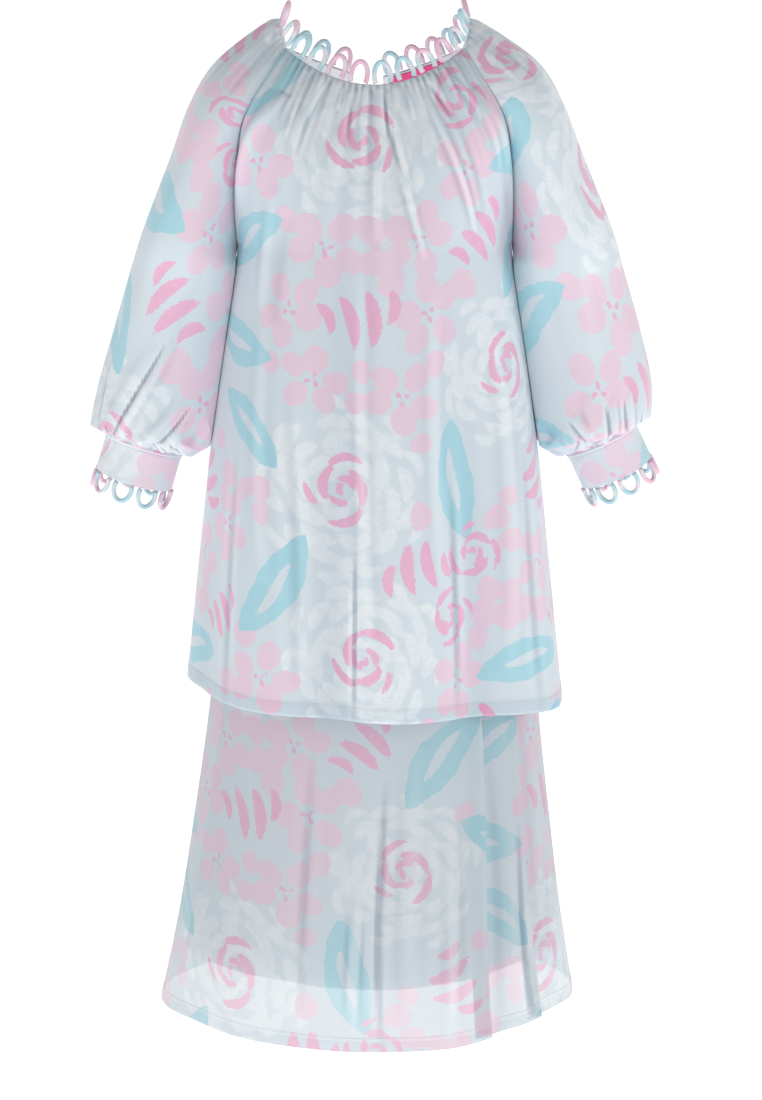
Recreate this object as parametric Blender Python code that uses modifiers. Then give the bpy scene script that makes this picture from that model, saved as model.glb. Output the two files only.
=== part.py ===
"""A child's baju kurung, worn by nobody: a loose raglan tunic with bishop sleeves over a long lined skirt.

Metres, +Z up. The front faces -Y, so +X is the wearer's left, and left and right below are the
wearer's. The origin is in the middle of the neck at the top of the shoulders, where the wearer holds
the set up. Every cloth piece is an open surface with a Solidify wall that goes inwards, so the outer
points are the garment's real outline.
"""

import math

import bpy
import numpy as np

# Walls and gaps
CLOTH = 0.001
SEAM = 0.0003
SEAM_TRIM = 0.00025
LINING_TRIM = 0.00040
CUFF_WALL = 0.002
WAISTBAND_WALL = 0.0080

# Sizes along the garment. Rows run from 0 at the neck to 1 at the armpit and 2 at the hem or cuff.
NECK_TO_ARMPIT = 0.150
ARMPIT_TO_HEM = 0.390
SHOULDER_TO_ARMPIT = 0.225
ARMPIT_TO_CUFF = 0.180
RAGLAN_ROWS = (0.0, 0.07, 0.18, 0.31, 0.45, 0.61, 0.80, 1.0)
TRUNK_ROWS = (1.18, 1.42, 1.7, 2.0)
SLEEVE_ROWS = (1.22, 1.46, 1.66, 1.8, 1.9, 1.96, 2.0)

# The trunk: height and depth of its middle line, and how far round it the panel's arc reaches.
TRUNK_COLUMNS = ("along", "mid_z", "front_y", "back_y", "arc", "side_x", "side_y")
TRUNK_SECTIONS = (
    (0.00, -0.048, -0.066, 0.060, 56, 0.0755, 0.000),
    (0.16, -0.064, -0.075, 0.071, 60, 0.0860, 0.000),
    (0.36, -0.086, -0.083, 0.080, 66, 0.1010, 0.000),
    (0.58, -0.112, -0.090, 0.086, 74, 0.1120, 0.002),
    (0.80, -0.146, -0.095, 0.091, 83, 0.1170, 0.004),
    (1.00, -0.185, -0.099, 0.095, 90, 0.1185, 0.006),
    (1.18, -0.250, -0.105, 0.099, 90, 0.1285, 0.006),
    (1.42, -0.345, -0.114, 0.106, 90, 0.1420, 0.005),
    (1.70, -0.457, -0.124, 0.116, 90, 0.1550, 0.004),
    (2.00, -0.575, -0.135, 0.127, 90, 0.1680, 0.003),
)
FRONT_DIP = 2.0
BACK_DIP = 1.4
BACK_NECK_RISE = 0.005
HEM_RISE_RIGHT = 0.0075
HEM_DROP_LEFT = 0.0115

# The left sleeve, on the +X side: its outer edge, its inner edge (the raglan seam, then the underarm),
# half its depth, how far round its section the cloth goes (180 closes it) and the middle of its depth.
# The right sleeve's outer edge is that much wider and lower.
SLEEVE_COLUMNS = (
    "along", "outer_x", "outer_z", "inner_x", "inner_z", "half_depth", "opening", "mid_y", "wider", "lower"
)
NECK_CURVE = 0.5
NECK_CURVE_END = 0.5
SLEEVE_SECTIONS = (
    (0.00, 0.0810, 0.0065, 0.0755, -0.0180, 0.0325, 68, 0.000, -0.0015, 0.000),
    (0.16, 0.1080, -0.0090, 0.0860, -0.0350, 0.0450, 82, 0.000, -0.0010, 0.000),
    (0.36, 0.1410, -0.0330, 0.1010, -0.0590, 0.0550, 98, 0.000, -0.0040, 0.000),
    (0.58, 0.1620, -0.0670, 0.1120, -0.0850, 0.0600, 118, 0.002, -0.0035, 0.000),
    (0.80, 0.1800, -0.1110, 0.1170, -0.1280, 0.0610, 146, 0.004, -0.0045, 0.000),
    (1.00, 0.2050, -0.1700, 0.1188, -0.1850, 0.0590, 180, 0.006, -0.0055, 0.000),
    (1.22, 0.2185, -0.2120, 0.1190, -0.2300, 0.0570, 180, 0.014, -0.0045, 0.000),
    (1.46, 0.2345, -0.2650, 0.1270, -0.2900, 0.0580, 180, 0.020, -0.0040, 0.000),
    (1.66, 0.2440, -0.3080, 0.1340, -0.3330, 0.0590, 180, 0.022, 0.0000, 0.002),
    (1.80, 0.2435, -0.3320, 0.1420, -0.3560, 0.0560, 180, 0.020, 0.0060, 0.005),
    (1.90, 0.2400, -0.3420, 0.1540, -0.3680, 0.0470, 180, 0.016, 0.0095, 0.008),
    (1.96, 0.2355, -0.3445, 0.1650, -0.3735, 0.0360, 180, 0.012, 0.0080, 0.008),
    (2.00, 0.2310, -0.3440, 0.1715, -0.3725, 0.0285, 180, 0.010, 0.0060, 0.008),
)
BODY_TO_SLEEVE = 0.0018

# Cuffs: a flat oval tube that goes on along the arm.
CUFF_HEIGHT = 0.031
CUFF_WIDENING = 0.0005
CUFF_END_HALF_DEPTH = 0.0305
CUFF_BACK_TILT = math.radians(3)

# Long soft folds of the tunic: where each starts and ends round the panel (-1 and 1 are its
# edges), its half-width there, how far it stands out at the hem and the row where it begins.
FOLD_COLUMNS = ("top", "bottom", "width", "height", "start")
FRONT_FOLDS = (
    (-0.42, -0.42, 0.17, 0.009, 0.7),
    (-0.12, -0.15, 0.11, -0.010, 0.5),
    (0.05, 0.08, 0.16, 0.013, 0.2),
    (0.34, 0.38, 0.13, -0.013, 0.8),
    (0.62, 0.68, 0.15, 0.009, 0.9),
    (-0.74, -0.76, 0.12, -0.005, 1.0),
)
BACK_FOLDS = (
    (0.22, 0.24, 0.12, 0.010, 0.5),
    (0.46, 0.50, 0.13, -0.010, 0.8),
    (0.62, 0.66, 0.11, 0.008, 1.2),
)

# Ridges beside the raglan seams, where the front turns back: from one place to another.
RIDGE_COLUMNS = ("across_start", "across_end", "start", "end", "width", "height")
RIDGES = (
    (-0.73, -0.93, 0.25, 1.00, 0.09, 0.0090),
    (0.84, 0.95, 0.25, 1.00, 0.07, 0.0050),
)
RIDGE_FULLNESS = 0.7

# Gathers: how many across the piece, how far they stand out, and how long they run.
NECK_GATHERS = {"front": 14, "back": 7, "sleeve": 5}
NECK_GATHER_HEIGHT = 0.0032
NECK_GATHER_RUN = 0.060
CUFF_GATHERS = 14
CUFF_GATHER_HEIGHT = 0.0040
CUFF_GATHER_RUN = 0.040
GATHER_RISE = 0.010

# The back opening's two edges at the neck, the row where the centre back seam closes it, and how far
# from its edge the cloth stays flat.
OPENING_TO_LEFT = 0.006
OPENING_TO_RIGHT = 0.018
OPENING_END = 0.80
OPENING_FLAT = 0.12

# Inside the neck
FACING_DEPTH = 0.014
FACING_GAP = 0.0008
LABEL_BELOW_NECK = 0.004
LABEL_WIDTH = 0.052
LABEL_DROP = 0.030

# The skirt: rings from the waist to the hem.
SKIRT_COLUMNS = ("height", "half_width", "front_y", "back_y", "mid_x")
SKIRT_SECTIONS = (
    (-0.300, 0.0960, -0.0740, 0.0720, 0.000),
    (-0.345, 0.1130, -0.0860, 0.0820, 0.000),
    (-0.420, 0.1290, -0.0960, 0.0900, 0.000),
    (-0.510, 0.1385, -0.1030, 0.0970, 0.001),
    (-0.600, 0.1480, -0.1110, 0.1030, -0.001),
    (-0.700, 0.1610, -0.1190, 0.1110, -0.003),
    (-0.790, 0.1740, -0.1270, 0.1180, -0.005),
    (-0.873, 0.1890, -0.1360, 0.1240, -0.0075),
)
SKIRT_ROWS = (-0.300, -0.320, -0.345, -0.420, -0.510, -0.600, -0.700, -0.790, -0.873)
LINING_ROWS = (-0.300, -0.345, -0.420, -0.560, -0.700, -0.822)
SKIRT_FOLDS = (
    (-0.62, -0.62, 0.12, -0.003, 0.2),
    (-0.30, -0.34, 0.16, 0.004, 0.2),
    (0.02, 0.04, 0.13, -0.003, 0.3),
    (0.24, 0.27, 0.13, 0.005, 0.2),
)
SKIRT_LIFT_START = -0.700
HEM_LIFT_COLUMNS = ("across", "lift")
SKIRT_HEM_LIFT = (
    (-1.00, 0.0010),
    (-0.60, 0.0060),
    (-0.30, 0.0050),
    (0.03, 0.0000),
    (0.30, 0.0030),
    (0.60, 0.0095),
    (1.00, 0.0080),
)
WAISTBAND_HEIGHT = 0.028

# Side pleats in the front of the skirt: where each folded edge lies round the front, how far the
# cloth goes under it for each metre of the skirt's half width, and the depth of its under layer and
# of the cloth that comes out again.
PLEATS = (0.435, 0.64)
PLEAT_UNDERLAY = 0.066
PLEAT_MIDDLE = 0.0033
PLEAT_BOTTOM = 0.0048
PLEAT_RETURN = (0.15, 0.7)
PLEAT_TURN_STEPS = 4
PLEAT_SLANT = 0.045
PLEAT_SLANT_SPREAD = 0.25
PLEAT_SLANT_START = -0.600

# The lining hangs inside the skirt and stops short of its hem.
LINING_INSET = 0.0070
LINING_HEM_INSET = 0.012
LINING_NARROWS_OVER = 0.080

# Rouleau loops: a cord bent to 115 degrees each side of the top of an oval.
CORD_RADIUS = 0.0019
LOOP_SPREAD = math.radians(115)
LOOP_POINTS = 7
NECK_LOOP_HALF_WIDTH = 0.0068
NECK_LOOP_HEIGHT = 0.0170
NECK_LOOPS = 23
NECK_LOOP_PITCH = 0.019
CUFF_LOOP_HALF_WIDTH = 0.0078
CUFF_LOOP_HEIGHT = 0.0155
CUFF_LOOPS = 9
LOOP_LEAN = 0.35
LOOP_FOOT = 0.0081
LOOP_END_REACH = 0.0005
LOOP_WAY_ANGLE = 0.05

# Mesh steps
FRONT_COLUMNS = 44
BACK_COLUMNS = 20
SLEEVE_STEPS = 40
CUFF_STEPS = 28
EVEN_ANGLE_STEPS = 720
SKIRT_STEPS = 22
LINING_STEPS = 14
BAND_STEPS = 32
FRONT_FACING_COLUMNS = 16
BACK_FACING_COLUMNS = 8
SLEEVE_FACING_COLUMNS = 10

SIDES = ((1, "left"), (-1, "right"))

CLOTH_COLOUR = (0.80, 0.85, 0.88, 1.0)
LINING_COLOUR = (0.86, 0.88, 0.90, 1.0)
LABEL_COLOUR = (0.90, 0.07, 0.28, 1.0)
CORD_COLOUR = (0.86, 0.80, 0.86, 1.0)


def smooth(columns, rows, name, at):
    """Reads a column at any place: a cubic whose slope at a row comes from the rows beside it."""
    table = np.array(rows, float)
    if table[0, 0] > table[-1, 0]:
        table = table[::-1]
    x, y = table[:, 0], table[:, columns.index(name)]
    slope = np.gradient(y, x)
    at = np.asarray(at, float)
    i = np.clip(np.searchsorted(x, at, side="right") - 1, 0, len(x) - 2)
    step = x[i + 1] - x[i]
    t = (at - x[i]) / step
    near = (1 + 2 * t) * (1 - t) ** 2 * y[i] + t * (1 - t) ** 2 * step * slope[i]
    far = t * t * (3 - 2 * t) * y[i + 1] + t * t * (t - 1) * step * slope[i + 1]
    return near + far


def ease(low, high, at):
    """Rises from 0 at low to 1 at high, level at both ends."""
    t = np.clip((at - low) / (high - low), 0, 1)
    return t * t * (3 - 2 * t)


def normals(points):
    """Unit normals of a grid, pointing out where rows run down and columns run from -X to +X in front."""
    down = np.gradient(points, axis=0)
    across = np.gradient(points, axis=1)
    normal = np.cross(down, across)
    length = np.linalg.norm(normal, axis=2, keepdims=True)
    return normal / np.maximum(length, 1e-12)


def trunk_edge(along, back):
    """The panel's edge: the raglan seam above the armpit, and the side seam below it."""
    sleeve = {
        name: smooth(SLEEVE_COLUMNS, SLEEVE_SECTIONS, name, np.minimum(along, 1.0))
        for name in SLEEVE_COLUMNS
    }
    turn = 1 if back else -1
    seam_y = sleeve["mid_y"] + turn * sleeve["half_depth"] * np.sin(np.radians(sleeve["opening"]))
    side_x = smooth(TRUNK_COLUMNS, TRUNK_SECTIONS, "side_x", along)
    side_y = smooth(TRUNK_COLUMNS, TRUNK_SECTIONS, "side_y", along)
    side_z = smooth(TRUNK_COLUMNS, TRUNK_SECTIONS, "mid_z", along)
    raglan = along < 1.0
    x = np.where(raglan, sleeve["inner_x"], side_x)
    y = np.where(raglan, seam_y, side_y)
    z = np.where(raglan, sleeve["inner_z"], side_z)
    return x, y, z


def trunk(along, across, back=False):
    """A trunk panel's smooth form: each row is an oval arc from edge to edge. across is -1 to 1."""
    along = np.asarray(along, float)[:, None]
    across = np.broadcast_to(across, (len(along), np.shape(across)[-1]))
    x_edge, y_edge, z_edge = trunk_edge(along, back)
    mid_y = smooth(TRUNK_COLUMNS, TRUNK_SECTIONS, "back_y" if back else "front_y", along)
    mid_z = smooth(TRUNK_COLUMNS, TRUNK_SECTIONS, "mid_z", along)
    if back:
        mid_z = mid_z + BACK_NECK_RISE * (1 - ease(0.0, 1.0, along))
    arc = np.radians(smooth(TRUNK_COLUMNS, TRUNK_SECTIONS, "arc", along))
    share = np.sin(across * arc) / np.sin(arc)
    x = x_edge * share
    y = y_edge + (mid_y - y_edge) * (np.cos(across * arc) - np.cos(arc)) / (1 - np.cos(arc))
    slant = np.where(across < 0, HEM_RISE_RIGHT, -HEM_DROP_LEFT)
    z_edge = z_edge + slant * ease(1.0, 2.0, along)
    dip = BACK_DIP if back else FRONT_DIP
    z = mid_z + (z_edge - mid_z) * np.abs(share) ** dip
    return np.stack([x, y, z], axis=2)


def below_neck(along):
    """How far down the cloth a trunk row lies."""
    return NECK_TO_ARMPIT * np.minimum(along, 1) + ARMPIT_TO_HEM * np.maximum(along - 1, 0)


def gathers(across, distance, count, height, run):
    """Small folds that stand out from a sewn edge: nothing at the seam, full just past it, then fading."""
    phase = count * (across + 1) / 2 + 0.16 * np.sin(7.3 * across + 1.1)
    wave = 0.5 - 0.5 * np.cos(2 * math.pi * phase)
    uneven = 0.72 + 0.28 * np.sin(11.0 * across + 0.7)
    longer = run * (1.0 + 0.5 * np.sin(5.1 * across + 2.0))
    fade = np.exp(-np.maximum(distance - GATHER_RISE, 0) / longer)
    return height * wave * uneven * fade * ease(0.0, GATHER_RISE, distance)


def soft_folds(across, along, table):
    """The long folds of a table, which grow from their starting row to the hem."""
    total = np.zeros(np.broadcast(across, along).shape)
    for row in table:
        fold = dict(zip(FOLD_COLUMNS, row))
        middle = fold["top"] + (fold["bottom"] - fold["top"]) * along / 2
        bump = np.exp(-(((across - middle) / fold["width"]) ** 2))
        total = total + fold["height"] * bump * ease(fold["start"], 2.0, along)
    return total


def ridges(across, along):
    """Ridges that run across a panel, highest halfway along themselves."""
    total = np.zeros(np.broadcast(across, along).shape)
    for row in RIDGES:
        ridge = dict(zip(RIDGE_COLUMNS, row))
        share = np.clip((along - ridge["start"]) / (ridge["end"] - ridge["start"]), 0, 1)
        middle = ridge["across_start"] + (ridge["across_end"] - ridge["across_start"]) * share
        bump = np.exp(-(((across - middle) / ridge["width"]) ** 2))
        total = total + ridge["height"] * bump * np.sin(math.pi * share) ** RIDGE_FULLNESS
    return total


def edge_fade(across):
    """Keeps a panel's edges on their seams."""
    return 1 - np.abs(across) ** 10


def trimmed(points, gap=SEAM_TRIM):
    """The same grid with its side edges drawn back from their seams."""
    out = points.copy()
    for edge, inner in ((0, 1), (-1, -2)):
        way = points[:, inner] - points[:, edge]
        out[:, edge] += gap * way / np.linalg.norm(way, axis=1, keepdims=True)
    return out


def front_points(along, across, plain=False):
    """The front panel with its folds and neck gathers, or without them."""
    base = trunk(along, across)
    if plain:
        return base
    rows = np.asarray(along, float)[:, None]
    lift = soft_folds(across[None, :], rows, FRONT_FOLDS)
    lift = lift + gathers(
        across[None, :], below_neck(rows), NECK_GATHERS["front"], NECK_GATHER_HEIGHT, NECK_GATHER_RUN
    )
    lift = lift + ridges(across[None, :], rows)
    return base + (lift * edge_fade(across[None, :]))[..., None] * normals(base)


def opening_edge(along, side):
    """How far round the back (0 to 1) the opening's edge lies, on the left (1) or the right (-1)."""
    neck_half_width = TRUNK_SECTIONS[0][TRUNK_COLUMNS.index("side_x")]
    width = (OPENING_TO_LEFT if side > 0 else OPENING_TO_RIGHT) / neck_half_width
    return width * (1 - ease(0.0, OPENING_END, np.asarray(along, float)))


def back_points(along, count, side, plain=False):
    """One back panel. The grid's columns run from the centre back to the side."""
    rows = np.asarray(along, float)[:, None]
    start = opening_edge(rows, side)
    share = start + (1 - start) * np.linspace(0, 1, count + 1)[None, :]
    base = trunk(along, side * share, back=True)
    if plain:
        return base
    lift = soft_folds(share, rows, BACK_FOLDS)
    lift = lift + gathers(
        2 * share - 1, below_neck(rows), NECK_GATHERS["back"], NECK_GATHER_HEIGHT, NECK_GATHER_RUN
    )
    fade = edge_fade(share) * ease(0.0, OPENING_FLAT, share - start)
    outward = -side * normals(base)
    return base + (lift * fade)[..., None] * outward


def beside_trunk(points):
    """Moves a sleeve's points out to where they rest against the trunk's side, below the armpit."""
    below = [dict(zip(TRUNK_COLUMNS, row)) for row in TRUNK_SECTIONS if row[0] >= 1.0][::-1]
    heights = [row["mid_z"] for row in below]
    x, y, z = np.moveaxis(points, 2, 0)
    trunk_at = {name: np.interp(z, heights, [row[name] for row in below]) for name in TRUNK_COLUMNS}
    front_reach = trunk_at["side_y"] - trunk_at["front_y"]
    back_reach = trunk_at["back_y"] - trunk_at["side_y"]
    offset = (y - trunk_at["side_y"]) / np.where(y > trunk_at["side_y"], back_reach, front_reach)
    wall = trunk_at["side_x"] * np.sqrt(1 - np.clip(offset, -1, 1) ** 2) + BODY_TO_SLEEVE
    x = np.where(z < heights[-1], np.maximum(x, wall), x)
    return np.stack([x, y, z], axis=2)


def sleeve_points(along, steps, side=1, plain=False):
    """A sleeve on the +X side, or the right one mirrored to it: rows go from front seam to back seam."""
    rows = np.asarray(along, float)[:, None]
    part = {name: smooth(SLEEVE_COLUMNS, SLEEVE_SECTIONS, name, rows) for name in SLEEVE_COLUMNS}
    if side < 0:
        part["outer_x"] = part["outer_x"] + part["wider"]
        part["outer_z"] = part["outer_z"] - part["lower"]
    opening = np.radians(np.minimum(part["opening"], 180))
    across = np.linspace(-1, 1, steps + 1)[None, :]
    angle = across * opening
    reach = (np.cos(angle) - np.cos(opening)) / (1 - np.cos(opening))
    x = part["inner_x"] + (part["outer_x"] - part["inner_x"]) * reach
    power = 1 + NECK_CURVE * (1 - ease(0.0, NECK_CURVE_END, rows))
    z = part["inner_z"] + (part["outer_z"] - part["inner_z"]) * np.abs(reach) ** power
    y = part["mid_y"] + part["half_depth"] * np.sin(angle)
    base = np.stack([x, y, z], axis=2)
    if plain:
        return base
    from_neck = SHOULDER_TO_ARMPIT * np.minimum(rows, 1) + ARMPIT_TO_CUFF * np.maximum(rows - 1, 0)
    from_cuff = SHOULDER_TO_ARMPIT + ARMPIT_TO_CUFF - from_neck
    lift = gathers(across, from_neck, NECK_GATHERS["sleeve"], NECK_GATHER_HEIGHT, NECK_GATHER_RUN)
    lift = lift * edge_fade(across)
    lift = lift + gathers(across, from_cuff, CUFF_GATHERS, CUFF_GATHER_HEIGHT, CUFF_GATHER_RUN)
    return beside_trunk(base + lift[..., None] * normals(base))


def skirt_along(height):
    """Where a height lies down the skirt, from 0 at its waist to 2 at its hem."""
    return 2 * (height - SKIRT_SECTIONS[0][0]) / (SKIRT_SECTIONS[-1][0] - SKIRT_SECTIONS[0][0])


def skirt_ways(height, across, back):
    """Outward and sideways unit ways of the skirt's oval rings."""
    rows = np.asarray(height, float)[:, None]
    part = {name: smooth(SKIRT_COLUMNS, SKIRT_SECTIONS, name, rows) for name in SKIRT_COLUMNS}
    angle = across * math.pi / 2
    deep = part["back_y"] if back else -part["front_y"]
    facing = 1 if back else -1
    out_x, out_y = np.sin(angle) / part["half_width"], facing * np.cos(angle) / deep
    size = np.hypot(out_x, out_y)
    level = np.zeros_like(size)
    outward = np.stack([out_x / size, out_y / size, level], axis=2)
    sideways = np.stack([facing * out_y / size, -facing * out_x / size, level], axis=2)
    return outward, sideways


def skirt_ring(height, across, back):
    """A half ring of the skirt, from its right side seam to its left one."""
    rows = np.asarray(height, float)[:, None]
    part = {name: smooth(SKIRT_COLUMNS, SKIRT_SECTIONS, name, rows) for name in SKIRT_COLUMNS}
    angle = across * math.pi / 2
    x = part["mid_x"] + part["half_width"] * np.sin(angle)
    y = (part["back_y"] if back else part["front_y"]) * np.cos(angle)
    lift = smooth(HEM_LIFT_COLUMNS, SKIRT_HEM_LIFT, "lift", across)
    if back:
        lift = np.interp(across, (-1, 1), (SKIRT_HEM_LIFT[0][1], SKIRT_HEM_LIFT[-1][1]))
    z = rows + lift * ease(-SKIRT_LIFT_START, -SKIRT_SECTIONS[-1][0], -rows)
    return np.stack([x, y, z], axis=2)


def pleat_section(steps):
    """The front's section: place round the front, inward depth, sideways turn and underlay share."""
    places = []
    edges = (-1.0, *PLEATS, 1.0)
    for n, (low, high) in enumerate(zip(edges[:-1], edges[1:])):
        count = max(PLEAT_TURN_STEPS, round(steps * (high - low) / 2))
        for t in np.linspace(0, 1, count + 1)[min(n, 1):-1]:
            came_out = PLEAT_BOTTOM * (1 - ease(*PLEAT_RETURN, t)) if n else 0.0
            places.append((low + (high - low) * t, came_out, 0.0, 0.0))
        if high < 1.0:
            turn = np.linspace(0, math.pi, PLEAT_TURN_STEPS + 1)
            radius = PLEAT_MIDDLE / 2
            for a in turn:
                places.append((high, radius * (1 - math.cos(a)), radius * math.sin(a), 0.0))
            under = (PLEAT_BOTTOM - PLEAT_MIDDLE) / 2
            for a in turn:
                depth = PLEAT_MIDDLE + under * (1 - math.cos(a))
                places.append((high, depth, -under * math.sin(a), -1.0))
    places.append((1.0, 0.0, 0.0, 0.0))
    return np.array(places)


def skirt_front_points(height, steps):
    """The front of the skirt with its side pleats and soft folds."""
    rows = np.asarray(height, float)[:, None]
    place, depth, turn, underlay = (column[None, :] for column in pleat_section(steps).T)
    nearer = np.exp(-(((place - PLEATS[0]) / PLEAT_SLANT_SPREAD) ** 2)) * edge_fade(place)
    across = place - PLEAT_SLANT * nearer * ease(-PLEAT_SLANT_START, -SKIRT_SECTIONS[-1][0], -rows)
    outward, sideways = skirt_ways(height, across, back=False)
    lift = soft_folds(across, skirt_along(rows), SKIRT_FOLDS) * edge_fade(across) - depth
    shift = turn + underlay * PLEAT_UNDERLAY * smooth(SKIRT_COLUMNS, SKIRT_SECTIONS, "half_width", rows)
    return skirt_ring(height, across, back=False) + lift[..., None] * outward + shift[..., None] * sideways


def skirt_back_points(height, steps):
    """The back of the skirt with its soft folds."""
    rows = np.asarray(height, float)[:, None]
    across = np.linspace(-1, 1, steps + 1)[None, :] + 0 * rows
    lift = soft_folds(across, skirt_along(rows), SKIRT_FOLDS) * edge_fade(across)
    outward = skirt_ways(height, across, back=True)[0]
    return skirt_ring(height, across, back=True) + lift[..., None] * outward


def lining_points(height, steps, back):
    """A lining half: the skirt's ring drawn in, a little more below the hips than at the waist."""
    rows = np.asarray(height, float)[:, None]
    across = np.linspace(-1, 1, steps + 1)[None, :] + 0 * rows
    narrower = ease(0.0, LINING_NARROWS_OVER, SKIRT_SECTIONS[0][0] - rows)
    inset = LINING_INSET + (LINING_HEM_INSET - LINING_INSET) * narrower
    return skirt_ring(height, across, back) - inset[..., None] * skirt_ways(height, across, back)[0]


def material(name, colour, roughness):
    """A plain Principled material."""
    made = bpy.data.materials.new(name)
    made.use_nodes = True
    shader = made.node_tree.nodes["Principled BSDF"]
    shader.inputs["Base Color"].default_value = colour
    shader.inputs["Roughness"].default_value = roughness
    shader.inputs["Metallic"].default_value = 0.0
    return made


def cloth(name, points, finish, closed=None, wall=CLOTH, flip=False):
    """Sews a grid of outer points into a named piece with a wall that goes inwards.

    closed says for each row whether its last point is its first one, as in a sleeve's tube.
    """
    rows, columns = points.shape[:2]
    closed = np.zeros(rows, bool) if closed is None else np.asarray(closed)
    vertices, index = [], np.zeros((rows, columns), int)
    for i in range(rows):
        for j in range(columns):
            if closed[i] and j == columns - 1:
                index[i, j] = index[i, 0]
                continue
            index[i, j] = len(vertices)
            vertices.append(points[i, j])
    faces = []
    for i in range(rows - 1):
        for j in range(columns - 1):
            corners = (index[i, j], index[i + 1, j], index[i + 1, j + 1], index[i, j + 1])
            faces.append(corners[::-1] if flip else corners)
    mesh = bpy.data.meshes.new(name)
    mesh.from_pydata([tuple(v) for v in vertices], [], [tuple(int(k) for k in f) for f in faces])
    mesh.materials.append(finish)
    mesh.shade_smooth()
    piece = bpy.data.objects.new(name, mesh)
    garment.objects.link(piece)
    thickness = piece.modifiers.new("Wall", "SOLIDIFY")
    thickness.thickness = wall
    thickness.offset = -1
    thickness.use_even_offset = True
    return piece


def loop_path(foot, up, sideways, half_width, height):
    """Points of one rouleau loop that stands on foot: an oval arc, narrower where it is sewn in."""
    angles = np.linspace(-LOOP_SPREAD, LOOP_SPREAD, LOOP_POINTS)
    rise = height / (1 - math.cos(LOOP_SPREAD))
    level = -rise * math.cos(LOOP_SPREAD)
    across = half_width * np.sin(angles)
    over = level + rise * np.cos(angles)
    return foot + across[:, None] * sideways + over[:, None] * up


def cord_loop(name, path, finish):
    """A loop of turned cord with filled ends."""
    curve = bpy.data.curves.new(name, "CURVE")
    curve.dimensions = "3D"
    curve.bevel_depth = CORD_RADIUS
    curve.bevel_resolution = 1
    curve.use_fill_caps = True
    line = curve.splines.new("POLY")
    line.points.add(len(path) - 1)
    for point, place in zip(line.points, path):
        point.co = (*place, 1.0)
    curve.materials.append(finish)
    piece = bpy.data.objects.new(name, curve)
    garment.objects.link(piece)
    return piece


def unit(vector):
    """The vector's direction, one metre long."""
    return vector / np.linalg.norm(vector)


def neck_line(rows):
    """The plain neck edge and the cloth below it, all round, from the back opening's right edge."""
    columns = np.linspace(-1, 1, FRONT_FACING_COLUMNS + 1)
    left_back = back_points(rows, BACK_FACING_COLUMNS, 1, plain=True)
    right_back = back_points(rows, BACK_FACING_COLUMNS, -1, plain=True)
    left_sleeve = sleeve_points(rows, SLEEVE_FACING_COLUMNS, 1, plain=True)
    right_sleeve = sleeve_points(rows, SLEEVE_FACING_COLUMNS, -1, plain=True) * np.array([-1, 1, 1])
    front = front_points(rows, columns, plain=True)
    parts = [right_back, right_sleeve[:, ::-1], front, left_sleeve, left_back[:, ::-1]]
    whole = [parts[0]] + [p[:, 1:] for p in parts[1:]]
    return np.concatenate(whole, axis=1)


def build_tunic(finish):
    """The front and the two back panels."""
    along = RAGLAN_ROWS + TRUNK_ROWS
    columns = np.linspace(-1, 1, FRONT_COLUMNS + 1)
    cloth("tunic_front", trimmed(front_points(along, columns)), finish)
    cloth("tunic_back_left", trimmed(back_points(along, BACK_COLUMNS, 1)), finish, flip=True)
    cloth("tunic_back_right", trimmed(back_points(along, BACK_COLUMNS, -1)), finish)


def build_sleeves(finish):
    """Two sleeves: open along the raglan seams, and tubes below the armpit."""
    along = RAGLAN_ROWS + SLEEVE_ROWS
    closed = [row >= 1.0 for row in along]
    open_rows = ~np.array(closed)
    apex = closed.index(True)
    for side, word in SIDES:
        points = sleeve_points(along, SLEEVE_STEPS, side)
        points[open_rows] = trimmed(points[open_rows])
        points[apex, 0] += (SEAM, 0, -SEAM)
        points[apex, -1] = points[apex, 0]
        cloth(f"sleeve_{word}", points * np.array([side, 1, 1]), finish, closed, flip=side < 0)


def cuff_frame(side):
    """The cuff's top middle, its ways down the arm, outward and back, and its half width, on one side."""
    row = dict(zip(SLEEVE_COLUMNS, SLEEVE_SECTIONS[-1]))
    wider, lower = (row["wider"], row["lower"]) if side < 0 else (0, 0)
    outer = np.array([row["outer_x"] + wider, row["mid_y"], row["outer_z"] - lower])
    inner = np.array([row["inner_x"], row["mid_y"], row["inner_z"]])
    mirror = np.array([side, 1, 1])
    outward = unit((outer - inner) * mirror)
    level = unit(np.array([side * (outer - inner)[2], 0, -(outer - inner)[0]]))
    down = level * math.cos(CUFF_BACK_TILT) + np.array([0, math.sin(CUFF_BACK_TILT), 0])
    back = np.array([0, math.cos(CUFF_BACK_TILT), 0]) - level * math.sin(CUFF_BACK_TILT)
    return (outer + inner) / 2 * mirror, down, outward, back, np.linalg.norm(outer - inner) / 2


def cuff_point(side, drop, angle, inset=0.0):
    """A point of the cuff's outer face, drop below its top and angle round it.

    The top rim lies level from front to back, as the sleeve's end does, and the lower rim tilts.
    """
    middle, down, outward, back, half_width = cuff_frame(side)
    half_depth = SLEEVE_SECTIONS[-1][SLEEVE_COLUMNS.index("half_depth")]
    share = drop / CUFF_HEIGHT
    wide = half_width + CUFF_WIDENING * share - inset
    deep = half_depth + (CUFF_END_HALF_DEPTH - half_depth) * share - inset
    ahead = np.array([0, 1 - share, 0]) + back * share
    return middle + down * drop + outward * wide * math.cos(angle) + ahead * deep * math.sin(angle)


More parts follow.
